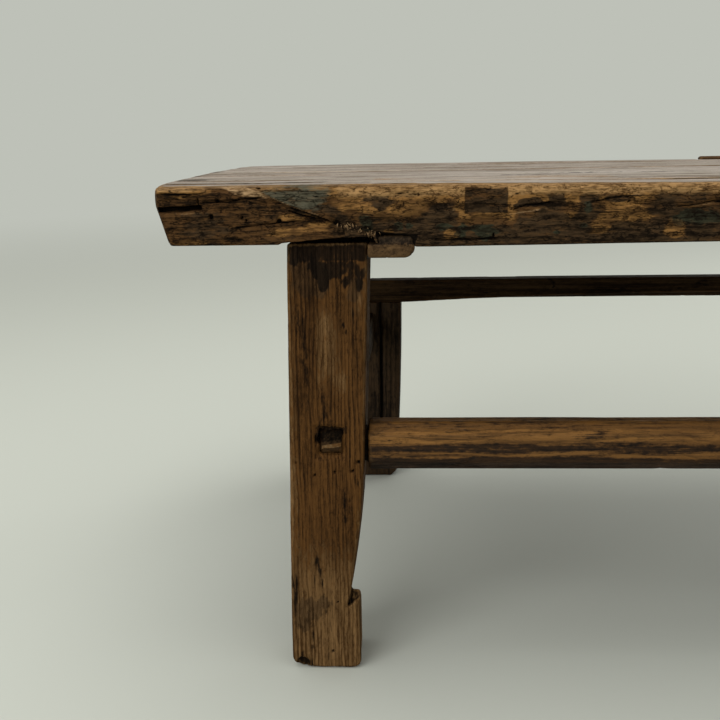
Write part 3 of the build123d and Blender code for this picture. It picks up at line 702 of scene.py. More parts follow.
def hewn_edge(work, sizes):
    """The front edge of the top: split along a ledge, cracked, hacked above and dark below."""
    x, y, z = work.points.T
    depth_in = y - FRONT_Y
    facing = ramp(-work.normals[:, 1], 0.2, 0.7) * (depth_in < 4)
    near_face = ramp(depth_in, 16, 1)
    tall = z + warp(work.points) + EDGE_SLOPE * np.clip(depth_in - 3, 0, 60)
    flat = np.stack([x, np.zeros_like(x), tall], 1)

    # The wood under the ledge has split away, deepest beside the ledge, with painted shade under the
    # ledge's lip
    reach, along = from_line(x, tall, LEDGE)
    ledge_z = np.interp(x, *zip(*LEDGE))
    under = (tall < ledge_z) & (x < LEDGE[-1][0])
    drop = sizes.ledge_drop / MM * ramp(along, 0.1, 0.75)
    split = np.where(under, drop * np.exp(-reach / 15), 0) * ramp(x, -520, -490)
    cut = split + 0.5 + 0.5 * ripples(flat, (70, 9, 16), 3)
    work.mask("hollow_shade", np.where(under & (along > 0.5), ramp(reach, 2.4, 0.4), 0) * facing)

    # Long fissures on the left, adze marks on the right, and wrinkled wood near the upper arris, with
    # painted shade in the fissures
    left = ramp(x, LEFT_END_X, LEFT_END_X - 16)
    upper = ramp(tall, 376, 390) * (1 - left)
    cut += left * (0.9 * fissures(flat, (60, 9, 5.5), 11) + 0.55 * ripples(flat, (34, 9, 3), 13))
    cut += (1 - left) * (0.7 + 0.75 * ripples(flat, (24, 9, 7.5), 17))
    cut += upper * (0.9 * ripples(flat, (12, 9, 4.5), 19, 4) + 1.1 * fissures(flat, (22, 9, 5), 23))
    work.mask("hollow_shade", 0.8 * left * fissures(flat, (60, 9, 5.5), 11, 0.05) * facing)
    work.mask("hollow_shade", 0.7 * upper * fissures(flat, (22, 9, 5), 23, 0.05) * facing)
    y = y + np.clip(cut, 0, None) * near_face

    # Cracks, the slot in the end, and torn fibres past the ledge, each darkened with painted shade
    wobble = 0.5 * ripples(flat, (9, 9, 9), 29)
    for line in CRACKS:
        reach, along = from_line(x, tall + wobble, line)
        groove = ramp(reach, 1.0, 0.2) * ramp(along, 0, 0.12) * ramp(along, 1, 0.8)
        y = y + 2.4 * groove * facing
        work.mask("hollow_shade", groove * facing)
    slot = patch(x, tall + 0.5 * wobble - 1.3 * ramp(x, -562, -538), *END_SLOT, 0.5)
    y = y + 9 * slot * facing
    work.mask("hollow_shade", slot)
    torn = ramp(from_line(x, tall, TORN_EDGE)[0], 4.5, 1)
    ragged = torn * ramp(ripples(flat, (2.4, 9, 2.4), 37), -0.3, 0.5)
    y = y + 3.2 * ragged * facing
    work.mask("hollow_shade", 0.7 * ragged * facing)

    # The underside of the edge is lifted where it has broken away above the left leg, and that
    # underside is painted in shade
    floor_z = np.interp(x, *zip(*BROKEN_UNDER))
    lifted = np.maximum(z, floor_z + 0.5 * wobble)
    over_leg = (depth_in < 30) & (floor_z > UNDERSIDE_Z + 0.1)
    work.mask("hollow_shade", 0.95 * over_leg * (z < floor_z + 0.2) * ramp(depth_in, 0.5, 3))
    z = np.where(over_leg, lifted, z)

    # Painted shade in the gap round the tongues of the battens
    for side in (-1, 1):
        rise = z - UNDERSIDE_Z
        flare = TONGUE_FLARE * np.clip(rise, 0, 7) / TONGUE_TALL
        off = np.abs(x - side * TONGUE_X) - TONGUE_HALF - flare
        gap = ramp(off, 2.2, 0.8) * ramp(rise, 9.6, 8.2) * (depth_in < 12)
        work.mask("hollow_shade", 0.95 * gap)

    # The upper arris is rubbed round, more on the right, with bites out of it
    along_edge = flat * (1, 1, 0)
    bites = ramp(ripples(along_edge, (52, 9, 9), 41), 0.35, 0.95)
    radius = 1.8 + ramp(x, -470, -400) * (3.6 + 1.3 * ripples(along_edge, (30, 9, 9), 43))
    radius = radius + 4 * bites * ramp(x, -430, -380) + 0.8 * ripples(along_edge, (7, 9, 9), 45)
    u = np.clip(radius - (y - FRONT_Y - 0.6), 0, None)
    v = np.clip(radius - (TOP_Z - z), 0, None)
    far = np.hypot(u, v)
    outside = (far > radius) & (u > 0) & (v > 0)
    shrink = np.where(outside, radius / np.maximum(far, 1e-6), 1)
    y = np.where(outside, FRONT_Y + 0.6 + radius - u * shrink, y)
    z = np.where(outside, TOP_Z - radius + v * shrink, z)
    work.points = np.stack([x, y, z], 1)
    work.holes(NAIL_HOLES, NAIL_WIDTH)
    strip_top = np.interp(x, *zip(*STRIP_TOP)) + 0.25 * ripples(flat, (18, 9, 0.6), 73)
    strip = ramp(tall, strip_top + 0.2, strip_top - 0.2) * (depth_in < 50)
    front = np.maximum(near_face * ramp(work.normals[:, 2], 0.9, 0.6), strip)
    square = colour_hewn_edge(work, flat, front, ledge_z)
    rounded = ramp(far, 0.75 * radius, radius) * (u > 0) * (v > 0) * (depth_in < 16)
    rim = ramp(TOP_Z - z, 5, 1) * strip
    rubbed = np.maximum(rounded, 0.8 * rim) * (0.75 + 0.5 * ripples(along_edge, (26, 9, 9), 67))
    work.mask("fresh", 0.7 * left * ramp(np.abs(tall - strip_top + 0.7), 0.9, 0.3) * strip)
    rubbed = rubbed * (1 - 0.45 * left * ramp(ripples(along_edge, (30, 9, 9), 69), -0.1, 0.5))
    rubbed = np.maximum(rubbed, 0.9 * (1 - left) * strip * ramp(tall, 391, 397)) * (1 - square)
    work.masks["weathered"] *= 1 - np.maximum(rounded, strip)
    work.mask("arris", rubbed)


def weathered_face(work, seed):
    """The upper face: low waves, raised grain, long checks and rubbed streaks along the boards."""
    x, y, z = work.points.T
    up = ramp(work.normals[:, 2], 0.5, 0.9) * (z > TOP_Z - 9)
    flat = np.stack([x, y, np.zeros_like(x)], 1)
    waves = 0.4 + 0.3 * ripples(flat, (260, 34, 9), seed)
    grooves = fissures(flat, (420, 15, 9), seed + 3, 0.1)
    checks = fissures(flat, (1500, 46, 9), seed + 7, 0.03) * ramp(
        ripples(flat, (210, 60, 9), seed + 11), 0.2, 0.6)
    work.points[:, 2] -= up * np.clip(waves + 0.5 * grooves + 1.6 * checks, 0, None)
    work.mask("weathered", up)
    # The checks are darkened in colour: painted shade.
    work.mask("hollow_shade", 0.9 * up * checks)
    work.mask("bare", 0.55 * up * ramp(ripples(flat, (260, 26, 9), seed + 13), 0.5, 1.1))
    work.mask("stain_and_shade", 0.5 * up * ramp(ripples(flat, (70, 26, 9), seed + 17), 0.7, 1.15))
    end = ramp(np.abs(x) + 6 * ripples(flat, (20, 20, 9), seed + 19), 585, 603)
    work.mask("stain_and_shade", 0.6 * up * end)
    work.mask("stain_and_shade", 0.7 * up * blot(x, y, -582, -112, 24, 30, 0.4 * waves))
    streak = patch(x, y, -410, -200, -178, -122, 9) * ramp(ripples(flat, (110, 9, 9), 83), -0.4, 0.4)
    work.mask("fresh", 0.75 * up * streak)


def open_joint(work, sizes, side):
    """The joint between the front and middle boards is open from left of the table's middle to
    the right batten. Its lips are rubbed. Side is -1 for the front board, 1 for the middle one."""
    x, y, z = work.points.T
    gap = sizes.joint_gap / MM / 2 * ramp(x, JOINT_OPENS, JOINT_OPENS + 38) * ramp(x, JOINT_SHUT, 250)
    reach = np.abs(y - JOINT_Y)
    flat = np.stack([x, np.zeros_like(x), np.zeros_like(x)], 1)
    lip = ramp(reach, 9, 3) * ramp(ripples(flat, (60, 9, 9), 71), -0.2, 0.5)
    lip = np.maximum(lip, ramp(x, -190, -165)) * ramp(reach, 20, 11)
    work.mask("fresh", 0.8 * lip * ramp(x, -420, -330) * (z > TOP_Z - 6))
    dark = np.maximum(ramp(x, JOINT_OPENS, -150) * ramp(x, JOINT_SHUT, 300) * ramp(reach, 8, 5),
                      0.7 * ramp(x, -420, -460) * ramp(reach + 5 * lip, 16, 6))
    work.mask("stain_and_shade", dark)
    work.points[:, 1] += side * gap * ramp(reach, 9, 0)
    # The open gap and the joint line are darkened: painted shade.
    work.mask("hollow_shade", 0.85 * ramp(reach, 7.5, 4) * ramp(gap, 0.1, 0.9))
    work.mask("hollow_shade", 0.5 * ramp(reach, 2.0, 0.4))


def board_material(colours):
    """Grey and furrowed above, brown below, bare where knocked, with grime, old paint and painted
    shade in cracks and holes.
    """
    return wood(
        "weathered_plank", colours.edge_brown, colours.edge_dark, 0, (0, -60, 130), (6.5, 34, 0.35),
        (("weathered", colours.top_pale, colours.top_dark, 1.0),
         ("bare", colours.bare_gold, colours.bare_brown, 0.95),
         ("fresh", colours.fresh_tan, colours.fresh_brown, 0.95),
         ("stain_and_shade", colours.grime, colours.grime_dark, 0.92),
         ("paint", colours.old_paint, colours.old_paint_dark, 0.9),
         ("green", colours.green, colours.grime_dark, 0.75),
         ("arris", colours.arris_gold, colours.arris_brown, 0.9),
         ("hollow_shade", colours.crevice_shade, colours.crevice_shade, 0.95)),
        relief=0.85, roughness=0.8, gloss=0.05, wrinkles=1.6)


class KANG_OT_top(bpy.types.Operator):
    """Makes the three boards of the top, hewn in front and weathered above"""

    bl_idname = "kang.top"
    bl_label = "Boards of the top"

    def execute(self, context):
        sizes = context.scene.kang_sizes
        material = board_material(context.scene.kang_colours)
        finer = {
            "top_board_front": (
                lambda x, y, z: y < FRONT_Y + 3.5,
                lambda x, y, z: (y < FRONT_Y + 3.0) & (x < -135),
            ),
        }
        for seed, word in enumerate(("front", "middle", "rear")):
            node = f"top_board_{word}"
            piece = skin(f"plank_{word}", node, sizes.board_skin, finer.get(node))
            work = Carving(piece.data)
            work.wear(sizes, 100 + 10 * seed, 0, rounds=5, depth=0.8)
            weathered_face(work, 200 + 20 * seed)
            if word == "front":
                hewn_edge(work, sizes)
                open_joint(work, sizes, -1)
            if word == "middle":
                open_joint(work, sizes, 1)
            work.keep_in_box()
            if word != "rear":
                work.points[:, 2] += warp(work.points)
            work.write()
            finish_piece(piece, material, "top_wood", node)
        return {"FINISHED"}


class KANG_OT_rear_patch(bpy.types.Operator):
    """Makes the rough strip let into the rear edge"""

    bl_idname = "kang.rear_patch"
    bl_label = "Patch in the rear edge"

    def execute(self, context):
        sizes, colours = context.scene.kang_sizes, context.scene.kang_colours
        piece = skin("edge_patch", "rear_edge_patch", 1.2 * MM)
        work = Carving(piece.data)
        work.wear(sizes, 301, 0, rounds=3, depth=1.1)
        rough = fissures(work.points, (40, 5, 5), 307)
        work.sink(0.9 * rough)
        # The fissures are darkened in colour: painted shade.
        work.mask("hollow_shade", 0.7 * rough)
        work.keep_in_box()
        work.write()
        material = wood(
            "split_patch", colours.edge_brown, colours.edge_dark, 0, (0, 250, 380), (3, 10, 0.4),
            (("arris", colours.rubbed, colours.rubbed_dark, 0.5),
             ("hollow_shade", colours.crevice_shade, colours.crevice_shade, 0.9)))
        finish_piece(piece, material, "patch_wood", "rear_edge_patch")
        return {"FINISHED"}


# Legs

WORM_HOLES = ((-454.4, 169.7, 1.0), (-438, 172.7, 1.0), (-423.3, 173.4, 0.9), (-418.9, 181.1, 1.05),
              (-470, 181, 0.7), (-438, 59, 0.6), (-443, 15, 1.1))
OTHER_WORM_HOLES = ((452, 96, 1.0), (437, 244, 0.8), (424, 251, 1.0), (461, 318, 0.9))
LEG_SPOTS = ((-434, 337, 19, 7.5, 3), (-426, 329, 3.5, 8, 2), (-415.6, 325, 2.4, 6.5, 2),
             (-466, 352, 10, 9, 2), (-444, 327, 5, 5, 2))
GREY_SPOTS = ((-451, 330, 14, 14, 2), (-420, 322, 7, 10, 2), (-462, 338, 8, 8, 2))
FOOT_SPOTS = ((-463, 53, 13, 10, 2), (-450, 58, 8, 6, 2), (-468, 41, 6, 9, 2))
HEEL_CHIP = (-468.5, 4, 5.5, 4.5)
# Half the width and height of the through mortise, whose middle lies above the wedge's
MORTISE_HALF = (10.2, 10.7)
MORTISE_ABOVE_WEDGE = 4
# The notch of the hoof: how far in from the outer side and how high its lower corner lies
NOTCH_CORNER = (40, 52)
NOTCH_TOP = 74
# The drying split of the left rear leg
SPLIT_X, SPLIT_DEPTH = -421.6, 9


def around_mortise(points, side):
    """Offsets from the middle of a leg's through mortise, and distance outside its walls."""
    low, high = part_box("tenon_wedges")
    u = points[:, 0] - side * (LEG_OUTER_X - THROUGH_INWARD)
    v = points[:, 2] - (low.z + high.z) / 2 / MM - MORTISE_ABOVE_WEDGE
    return u, v, np.maximum(np.abs(u) - MORTISE_HALF[0], np.abs(v) - MORTISE_HALF[1])


def ragged_mortise(work, side):
    """The mouth of the through mortise is torn on its upper outer side, and worn level with the
    tenon below."""
    u, v, reach = around_mortise(work.points, side)
    zone = (work.points[:, 1] < work.box[0][1] + 8) & (reach < 7)
    outward = np.stack([u, np.zeros_like(u), v], 1)
    outward /= np.maximum(np.linalg.norm(outward, axis=1), 1e-6)[:, None]
    upper_outer = ramp(v + 0.3 * u * side, 0, 5)
    torn = upper_outer * (1.3 + 2.2 * ripples(work.points, (4, 9, 4), 411))
    shift = np.clip(torn, 0, 3) - 0.7 * (1 - upper_outer)
    work.points += outward * (ramp(np.abs(reach), 3.4, 0.8) * zone * shift)[:, None]
    dished = ramp(reach, 5.5, 0.2) * zone * (work.normals[:, 1] < -0.2)
    work.points[:, 1] += dished * np.clip(2.6 + 0.9 * ripples(work.points, (5, 9, 5), 413), 0, 3.6)
    work.mask("stain_and_shade", 0.9 * ramp(reach, 3.5, 0.5) * zone * upper_outer)


class KANG_OT_front_legs(bpy.types.Operator):
    """Makes the two hoofed front legs, ring-grained, wormed, and dark at the top with dirt and
    painted shadow of the top
    """

    bl_idname = "kang.front_legs"
    bl_label = "Front legs"

    def execute(self, context):
        sizes, colours = context.scene.kang_sizes, context.scene.kang_colours
        # The third layer is dirt and also painted shade under the top and in the hoof notches; the
        # last is painted shade in splits, holes and inner corners.
        layers = (
            ("bare", colours.rubbed, colours.rubbed_dark, 0.8),
            ("paint", colours.grime, colours.dirt_and_shade, 0.55),
            ("stain_and_shade", colours.dirt_and_shade, colours.crevice_shade, 0.93),
            ("arris", colours.rubbed, colours.rubbed_dark, 0.75),
            ("hollow_shade", colours.crevice_shade, colours.crevice_shade, 0.92))
        for seed, word, side in ((400, "left", -1), (450, "right", 1)):
            node = f"leg_front_{word}"
            piece = skin(f"hoofed_leg_{word}", node, sizes.fine_skin)
            work = Carving(piece.data)
            spared = ramp(around_mortise(work.points, side)[2], 5, 2)
            work.wear(sizes, seed, 2, spared=spared)
            x, y, z = work.points.T
            furrows = ripples(work.points, (3.4, 3.4, 150), seed + 3, 2)
            splits = fissures(work.points, (13, 13, 240), seed + 4, 0.035) * ramp(
                ripples(work.points, (30, 30, 120), seed + 6), -0.1, 0.4)
            work.sink(0.18 * (0.6 + furrows) + 0.9 * splits)
            work.points[:, 0] += side * 0.7 * ramp(work.normals[:, 0] * side, 0.2, 0.8)
            # The splits are darkened in colour: painted shade.
            work.mask("hollow_shade", 0.8 * splits)
            u = x * -side
            ragged = 0.5 * ripples(work.points, (5, 5, 9), seed + 7, 4)
            front = ramp(-work.normals[:, 1], 0, 0.6)
            stain_and_shade = blots(u, z, LEG_SPOTS, ragged)
            grey = blots(u, z, GREY_SPOTS, ragged)
            into = LEG_OUTER_X + u - NOTCH_CORNER[0]
            rise = z - NOTCH_CORNER[1]
            notch = ramp(into - 0.2 * rise, -0.8, 0.8) * ramp(rise - 0.9 * into, -0.8, 0.8)
            notch = notch * (z < NOTCH_TOP) * ramp(y, -287.5, -285.5) * ramp(y, -279, -281)
            # The notch of the hoof is darkened: painted shade in the recess.
            work.mask("stain_and_shade", 0.5 * notch)
            if side < 0:
                grey = np.maximum(grey, blots(u, z, FOOT_SPOTS, ragged))
                chip = blot(u, z, *HEEL_CHIP, 0.3 * ragged) * ramp(y, -276, -284)
                work.points[:, 1] += 3.5 * chip
                stain_and_shade = np.maximum(stain_and_shade, chip)
            work.mask("stain_and_shade", stain_and_shade * front)
            work.mask("paint", grey * front)
            # Dark band at the top of the leg: dirt, and painted shadow of the overhanging top.
            work.mask("stain_and_shade", 0.95 * ramp(z + 2 * ragged, 342.5, 346))
            broad = ripples(work.points, (26, 26, 90), seed + 9)
            work.mask("bare", ramp(z + 14 * broad, 130, 30))
            work.mask("bare", 0.55 * ramp(broad, 0.2, 0.8))
            work.mask("stain_and_shade", 0.5 * ramp(ripples(work.points, (7, 7, 70), seed + 13), 0.5, 1.1))
            outer = ramp(u, -LEG_OUTER_X + 6, -LEG_OUTER_X + 1)
            work.mask("bare", 0.35 * outer * front * ramp(z, 352, 340))
            ragged_mortise(work, side)
            holes = WORM_HOLES if side < 0 else OTHER_WORM_HOLES
            work.holes(holes, sizes.worm_hole / MM)
            work.keep_in_box()
            work.write()
            material = wood(f"leg_{word}_wood", colours.leg_light, colours.leg_dark, 2,
                            (side * 250, -235, 0), (3.3, 26, 0.4), layers, relief=0.45,
                            gloss=0.05)
            finish_piece(piece, material, "frame_wood", node)
        return {"FINISHED"}


class KANG_OT_rear_legs(bpy.types.Operator):
    """Makes the two shouldered rear legs, one with a long drying split"""

    bl_idname = "kang.rear_legs"
    bl_label = "Rear legs"

    def execute(self, context):
        sizes, colours = context.scene.kang_sizes, context.scene.kang_colours
        layers = (("arris", colours.leg_light, colours.leg_dark, 0.6),
                  ("stain_and_shade", colours.dirt_and_shade, colours.crevice_shade, 0.7),
                  ("hollow_shade", colours.crevice_shade, colours.crevice_shade, 0.95))
        for seed, word, side in ((500, "left", -1), (550, "right", 1)):
            node = f"leg_rear_{word}"
            piece = skin(f"shouldered_leg_{word}", node, sizes.plain_skin)
            work = Carving(piece.data)
            work.wear(sizes, seed, 2)
            x, _, z = work.points.T
            furrows = ripples(work.points, (6, 6, 160), seed + 3, 2)
            work.sink(0.2 * (1 + furrows))
            if side < 0:
                path = SPLIT_X + 1.1 * ripples(work.points * (0, 0, 1), (9, 9, 45), seed + 5)
                half = sizes.split_width / MM / 2
                groove = ramp(np.abs(x - path), half * 1.5, half * 0.4)
                groove = groove * ramp(z, 20, 60) * (work.normals[:, 1] < -0.3)
                work.points[:, 1] += SPLIT_DEPTH * groove
                # The split is darkened in colour: painted shade.
                work.mask("hollow_shade", groove)
            work.mask("stain_and_shade", 0.6 * ramp(ripples(work.points, (40, 40, 90), seed + 9), 0.2, 0.9))
            work.keep_in_box()
            work.write()
            # Darker wood than the front legs: partly its own tone, partly painted shade from under
            # the table.
            material = wood(f"rear_leg_{word}_wood", colours.back_light_shaded, colours.back_dark_shaded, 2,
                            (side * 250, 300, 0), (5.2, 18, 0.3), layers)
            finish_piece(piece, material, "frame_wood", node)
        return {"FINISHED"}


# Stretchers, rail and battens

TENON_WORN_Z = (196.2, 197.4)       # above these heights the through tenons' ends are worn back
class KANG_OT_front_stretcher(bpy.types.Operator):
    """Makes the front stretcher, polished by hands and feet above and dark below"""

    bl_idname = "kang.front_stretcher"
    bl_label = "Front stretcher"

    def execute(self, context):
        sizes, colours = context.scene.kang_sizes, context.scene.kang_colours
        piece = skin("front_stretcher", "stretcher_front", sizes.fine_skin * 1.1)
        work = Carving(piece.data)
        work.wear(sizes, 600, 0, depth=0.8)
        x, _, z = work.points.T
        low, high = work.box[0][2], work.box[1][2]
        share = (z - low) / (high - low)
        flow = ripples(work.points, (150, 30, 9), 603)
        splits = fissures(work.points, (220, 14, 10), 605, 0.04)
        work.sink(0.25 * (1 + flow) + 0.7 * splits)
        fine = 0.05 * ripples(work.points, (60, 12, 3), 604, 4)
        level = share + 0.05 * flow + fine
        work.mask("bare", ramp(level, 0.54, 0.62) * ramp(level, 0.95, 0.8) * (0.75 + 0.4 * flow))
        work.mask("bare", 0.5 * ramp(level, 0.26, 0.3) * ramp(level, 0.4, 0.36))
        work.mask("stain_and_shade", 0.83 * ramp(level, 0.36, 0.42) * ramp(level, 0.58, 0.52))
        work.mask("stain_and_shade", ramp(level, 0.34, 0.26))
        tip_x = work.box[1][0]
        work.mask("stain_and_shade", 0.4 * ramp(np.abs(x) + 30 * fine, tip_x - 55, tip_x - 15))
        work.mask("stain_and_shade", 0.27 * ramp(level, 0.93, 0.98))
        work.mask("stain_and_shade", 0.54 * ramp(ripples(work.points, (55, 12, 7), 607), 0.35, 0.9))
        # The splits and the tenons past the shoulders are darkened: painted shade in the splits and
        # where the tenons go into the legs.
        work.mask("hollow_shade", 0.6 * splits)
        work.mask("hollow_shade", ramp(np.abs(x), tip_x - 16.5, tip_x - 15.2))
        work.keep_in_box()
        work.write()
        layers = (("bare", colours.polished, colours.rubbed_dark, 0.9),
                  ("stain_and_shade", colours.stretcher_dark, colours.crevice_shade, 0.96),
                  ("arris", colours.rubbed, colours.rubbed_dark, 0.3),
                  ("hollow_shade", colours.crevice_shade, colours.crevice_shade, 0.8))
        material = wood("stretcher_wood", colours.stretcher_light, colours.stretcher_dark, 0,
                        (0, -240, 228), (5, 40, 0.2), layers, roughness=0.58, gloss=0.14)
        finish_piece(piece, material, "stretcher_wood", "stretcher_front")
        return {"FINISHED"}


class KANG_OT_back_rails(bpy.types.Operator):
    """Makes the arched rear rail and the two side stretchers"""

    bl_idname = "kang.back_rails"
    bl_label = "Rear rail and side stretchers"

    def execute(self, context):
        sizes, colours = context.scene.kang_sizes, context.scene.kang_colours
        layers = (("arris", colours.leg_light, colours.leg_dark, 0.55),
                  ("stain_and_shade", colours.dirt_and_shade, colours.crevice_shade, 0.75),
                  ("bare", colours.wedge_pale, colours.leg_light, 0.7),
                  ("hollow_shade", colours.crevice_shade, colours.crevice_shade, 0.9))
        rows = (
            ("arched_rail", "rail_rear", 0, (0, 300, 300), 700),
            ("side_stretcher_left", "stretcher_left", 1, (-420, 0, 240), 720),
            ("side_stretcher_right", "stretcher_right", 1, (420, 0, 240), 740),
        )
        for name, node, grain, pith, seed in rows:
            piece = skin(name, node, sizes.plain_skin)
            work = Carving(piece.data)
            work.wear(sizes, seed, grain)
            across = np.where(np.arange(3) == grain, 130.0, 26.0)
            work.mask("stain_and_shade", 0.8 * ramp(ripples(work.points, across, seed + 5), 0.0, 0.7))
            splits = fissures(work.points, across * (1, 0.5, 0.5), seed + 9, 0.04)
            work.sink(0.8 * splits)
            # The splits are darkened in colour: painted shade.
            work.mask("hollow_shade", 0.7 * splits)
            if grain == 1:
                end = ramp(work.points[:, 1], work.box[0][1] + 6, work.box[0][1] + 1)
                pit = ramp(work.points[:, 2] + 0.8 * splits, *TENON_WORN_Z)
                work.points[:, 1] += 2.2 * end * pit
                # The worn-back tenon ends are darkened: painted shade in the pit.
                work.mask("hollow_shade", 0.7 * end * pit)
            work.keep_in_box()
            work.write()
            # Darker wood than the front legs: partly its own tone, partly painted shade from under
            # the table.
            material = wood(f"{name}_wood", colours.back_light_shaded, colours.back_dark_shaded, grain, pith,
                            (4.5, 14, 0.25), layers, gloss=0.04)
            finish_piece(piece, material, "frame_wood", node)
        return {"FINISHED"}


class KANG_OT_battens(bpy.types.Operator):
    """Makes the two sliding dovetail battens under the top"""

    bl_idname = "kang.battens"
    bl_label = "Dovetail battens"

    def execute(self, context):
        sizes, colours = context.scene.kang_sizes, context.scene.kang_colours
        layers = (("paint", colours.grime, colours.grime_dark, 0.95),
                  ("stain_and_shade", colours.dirt_and_shade, colours.crevice_shade, 0.75),
                  ("bare", colours.rubbed, colours.rubbed_dark, 0.5),
                  ("arris", colours.rubbed, colours.rubbed_dark, 0.3),
                  ("hollow_shade", colours.crevice_shade, colours.crevice_shade, 0.9))
        for seed, word, side in ((800, "left", -1), (850, "right", 1)):
            node = f"batten_{word}"
            piece = skin(f"dovetail_batten_{word}", node, sizes.plain_skin,
                         (lambda x, y, z: y < FRONT_Y + 9,))
            work = Carving(piece.data)
            work.wear(sizes, seed, 1, depth=0.9)
            x, y, z = work.points.T
            near_front = ramp(y, FRONT_Y + 14, FRONT_Y + 5)
            tongue = ramp(z, UNDERSIDE_Z - 0.5, UNDERSIDE_Z + 2) * near_front
            work.points[:, 1] += 1.6 * tongue
            work.points[:, 2] -= 0.8 * tongue
            work.mask("paint", tongue)
            work.mask("stain_and_shade", 0.6 * tongue)
            seam = ramp(np.abs(z - UNDERSIDE_Z), 1.3, 0.4) * near_front
            # The seam under the top is darkened: painted shade between the parts.
            work.mask("hollow_shade", 0.7 * seam)
            splits = fissures(work.points, (10, 200, 6), seed + 3, 0.05)
            work.sink(0.6 * splits)
            # The splits are darkened in colour: painted shade.
            work.mask("hollow_shade", 0.6 * splits)
            sloped = np.stack([(x + 2.2 * z) / 3, y, (z - 0.4 * x) * 3], 1)
            worn = ramp(ripples(sloped, (14, 9, 8), seed + 7), -0.2, 0.6)
            worn = worn * ramp(y, FRONT_Y + 6, FRONT_Y + 2)
            work.mask("bare", 0.6 * worn * ramp(z, UNDERSIDE_Z - 1, UNDERSIDE_Z - 3))
            work.keep_in_box()
            work.write()
            material = wood(f"batten_{word}_wood", colours.batten_light, colours.batten_dark, 1,
                            (side * 386, 0, 250), (4.2, 20, 0.15), layers)
            finish_piece(piece, material, "batten_wood", node)
        return {"FINISHED"}


class KANG_OT_wedges(bpy.types.Operator):
    """Makes the pale wedges that spread the through tenons"""

    bl_idname = "kang.wedges"
    bl_label = "Tenon wedges"

    def execute(self, context):
        sizes, colours = context.scene.kang_sizes, context.scene.kang_colours
        piece = skin("pale_wedges", "tenon_wedges", 0.5 * MM)
        work = Carving(piece.data)
        work.wear(sizes, 900, 1, rounds=3, depth=0.2)
        work.keep_in_box()
        x, y, _ = work.points.T
        middle = np.sign(x) * (LEG_OUTER_X - THROUGH_INWARD)
        # Driven in askew: a rise for each millimetre across, which differs from wedge to wedge
        askew = np.where(x < 0, 0.14, -0.08) * np.where(y < 0, 1.0, -0.6)
        work.points[:, 2] += askew * (x - middle)
        work.write()
        material = wood("dry_wedge", colours.wedge_pale, colours.leg_light, 1, (-440, 0, 210),
                        (1.6, 4, 0.3), (("hollow_shade", colours.crevice_shade, colours.crevice_shade, 0.5),))
        finish_piece(piece, material, "wedge_wood", "tenon_wedges")
        return {"FINISHED"}


# Repeats, made with geometry nodes

DOWEL_COUNT = 5                     # in each joint

def geometry_tree(name, inputs):
    """An empty geometry tree with named inputs, and its input sockets."""
    tree = bpy.data.node_groups.new(name, "GeometryNodeTree")
    tree.interface.new_socket("Geometry", in_out="OUTPUT", socket_type="NodeSocketGeometry")
    tree.interface.new_socket("Geometry", in_out="INPUT", socket_type="NodeSocketGeometry")
    for label, kind in inputs:
        tree.interface.new_socket(label, in_out="INPUT", socket_type=kind)
    net = Net(tree)
    return tree, net, net.add("NodeGroupInput").outputs


def finish_tree(net, instances, material):
    """Ends a tree: the instances are made real and given their material."""
    real = net.add("GeometryNodeRealizeInstances", {0: instances}).outputs[0]
    painted = net.add("GeometryNodeSetMaterial", {"Geometry": real, "Material": material})
    net.add("NodeGroupOutput", {0: painted.outputs[0]})


def grow(name, mesh, tree, values):
    """Runs a tree over a mesh with the given values, and keeps the result as a plain mesh."""
    piece = bpy.data.objects.new(name, mesh)
    modifier = piece.modifiers.new("Grow", "NODES")
    modifier.node_group = tree
    for item in tree.interface.items_tree:
        if item.in_out == "INPUT" and item.name in values:
            modifier[item.identifier] = values[item.name]
    bpy.context.scene.collection.objects.link(piece)
    graph = bpy.context.evaluated_depsgraph_get()
    piece.data = bpy.data.meshes.new_from_object(piece.evaluated_get(graph))
    piece.modifiers.clear()
    piece.data.name = name
    return piece


def line_mesh(name, lines):
    """A mesh of broken lines, in metres."""
    mesh = bpy.data.meshes.new(name)
    points = [point for line in lines for point in line]
    starts = np.cumsum([0] + [len(line) for line in lines])
    edges = [(i, i + 1) for start, end in itertools.pairwise(starts) for i in range(start, end - 1)]
    mesh.from_pydata(points, edges, [])
    return mesh


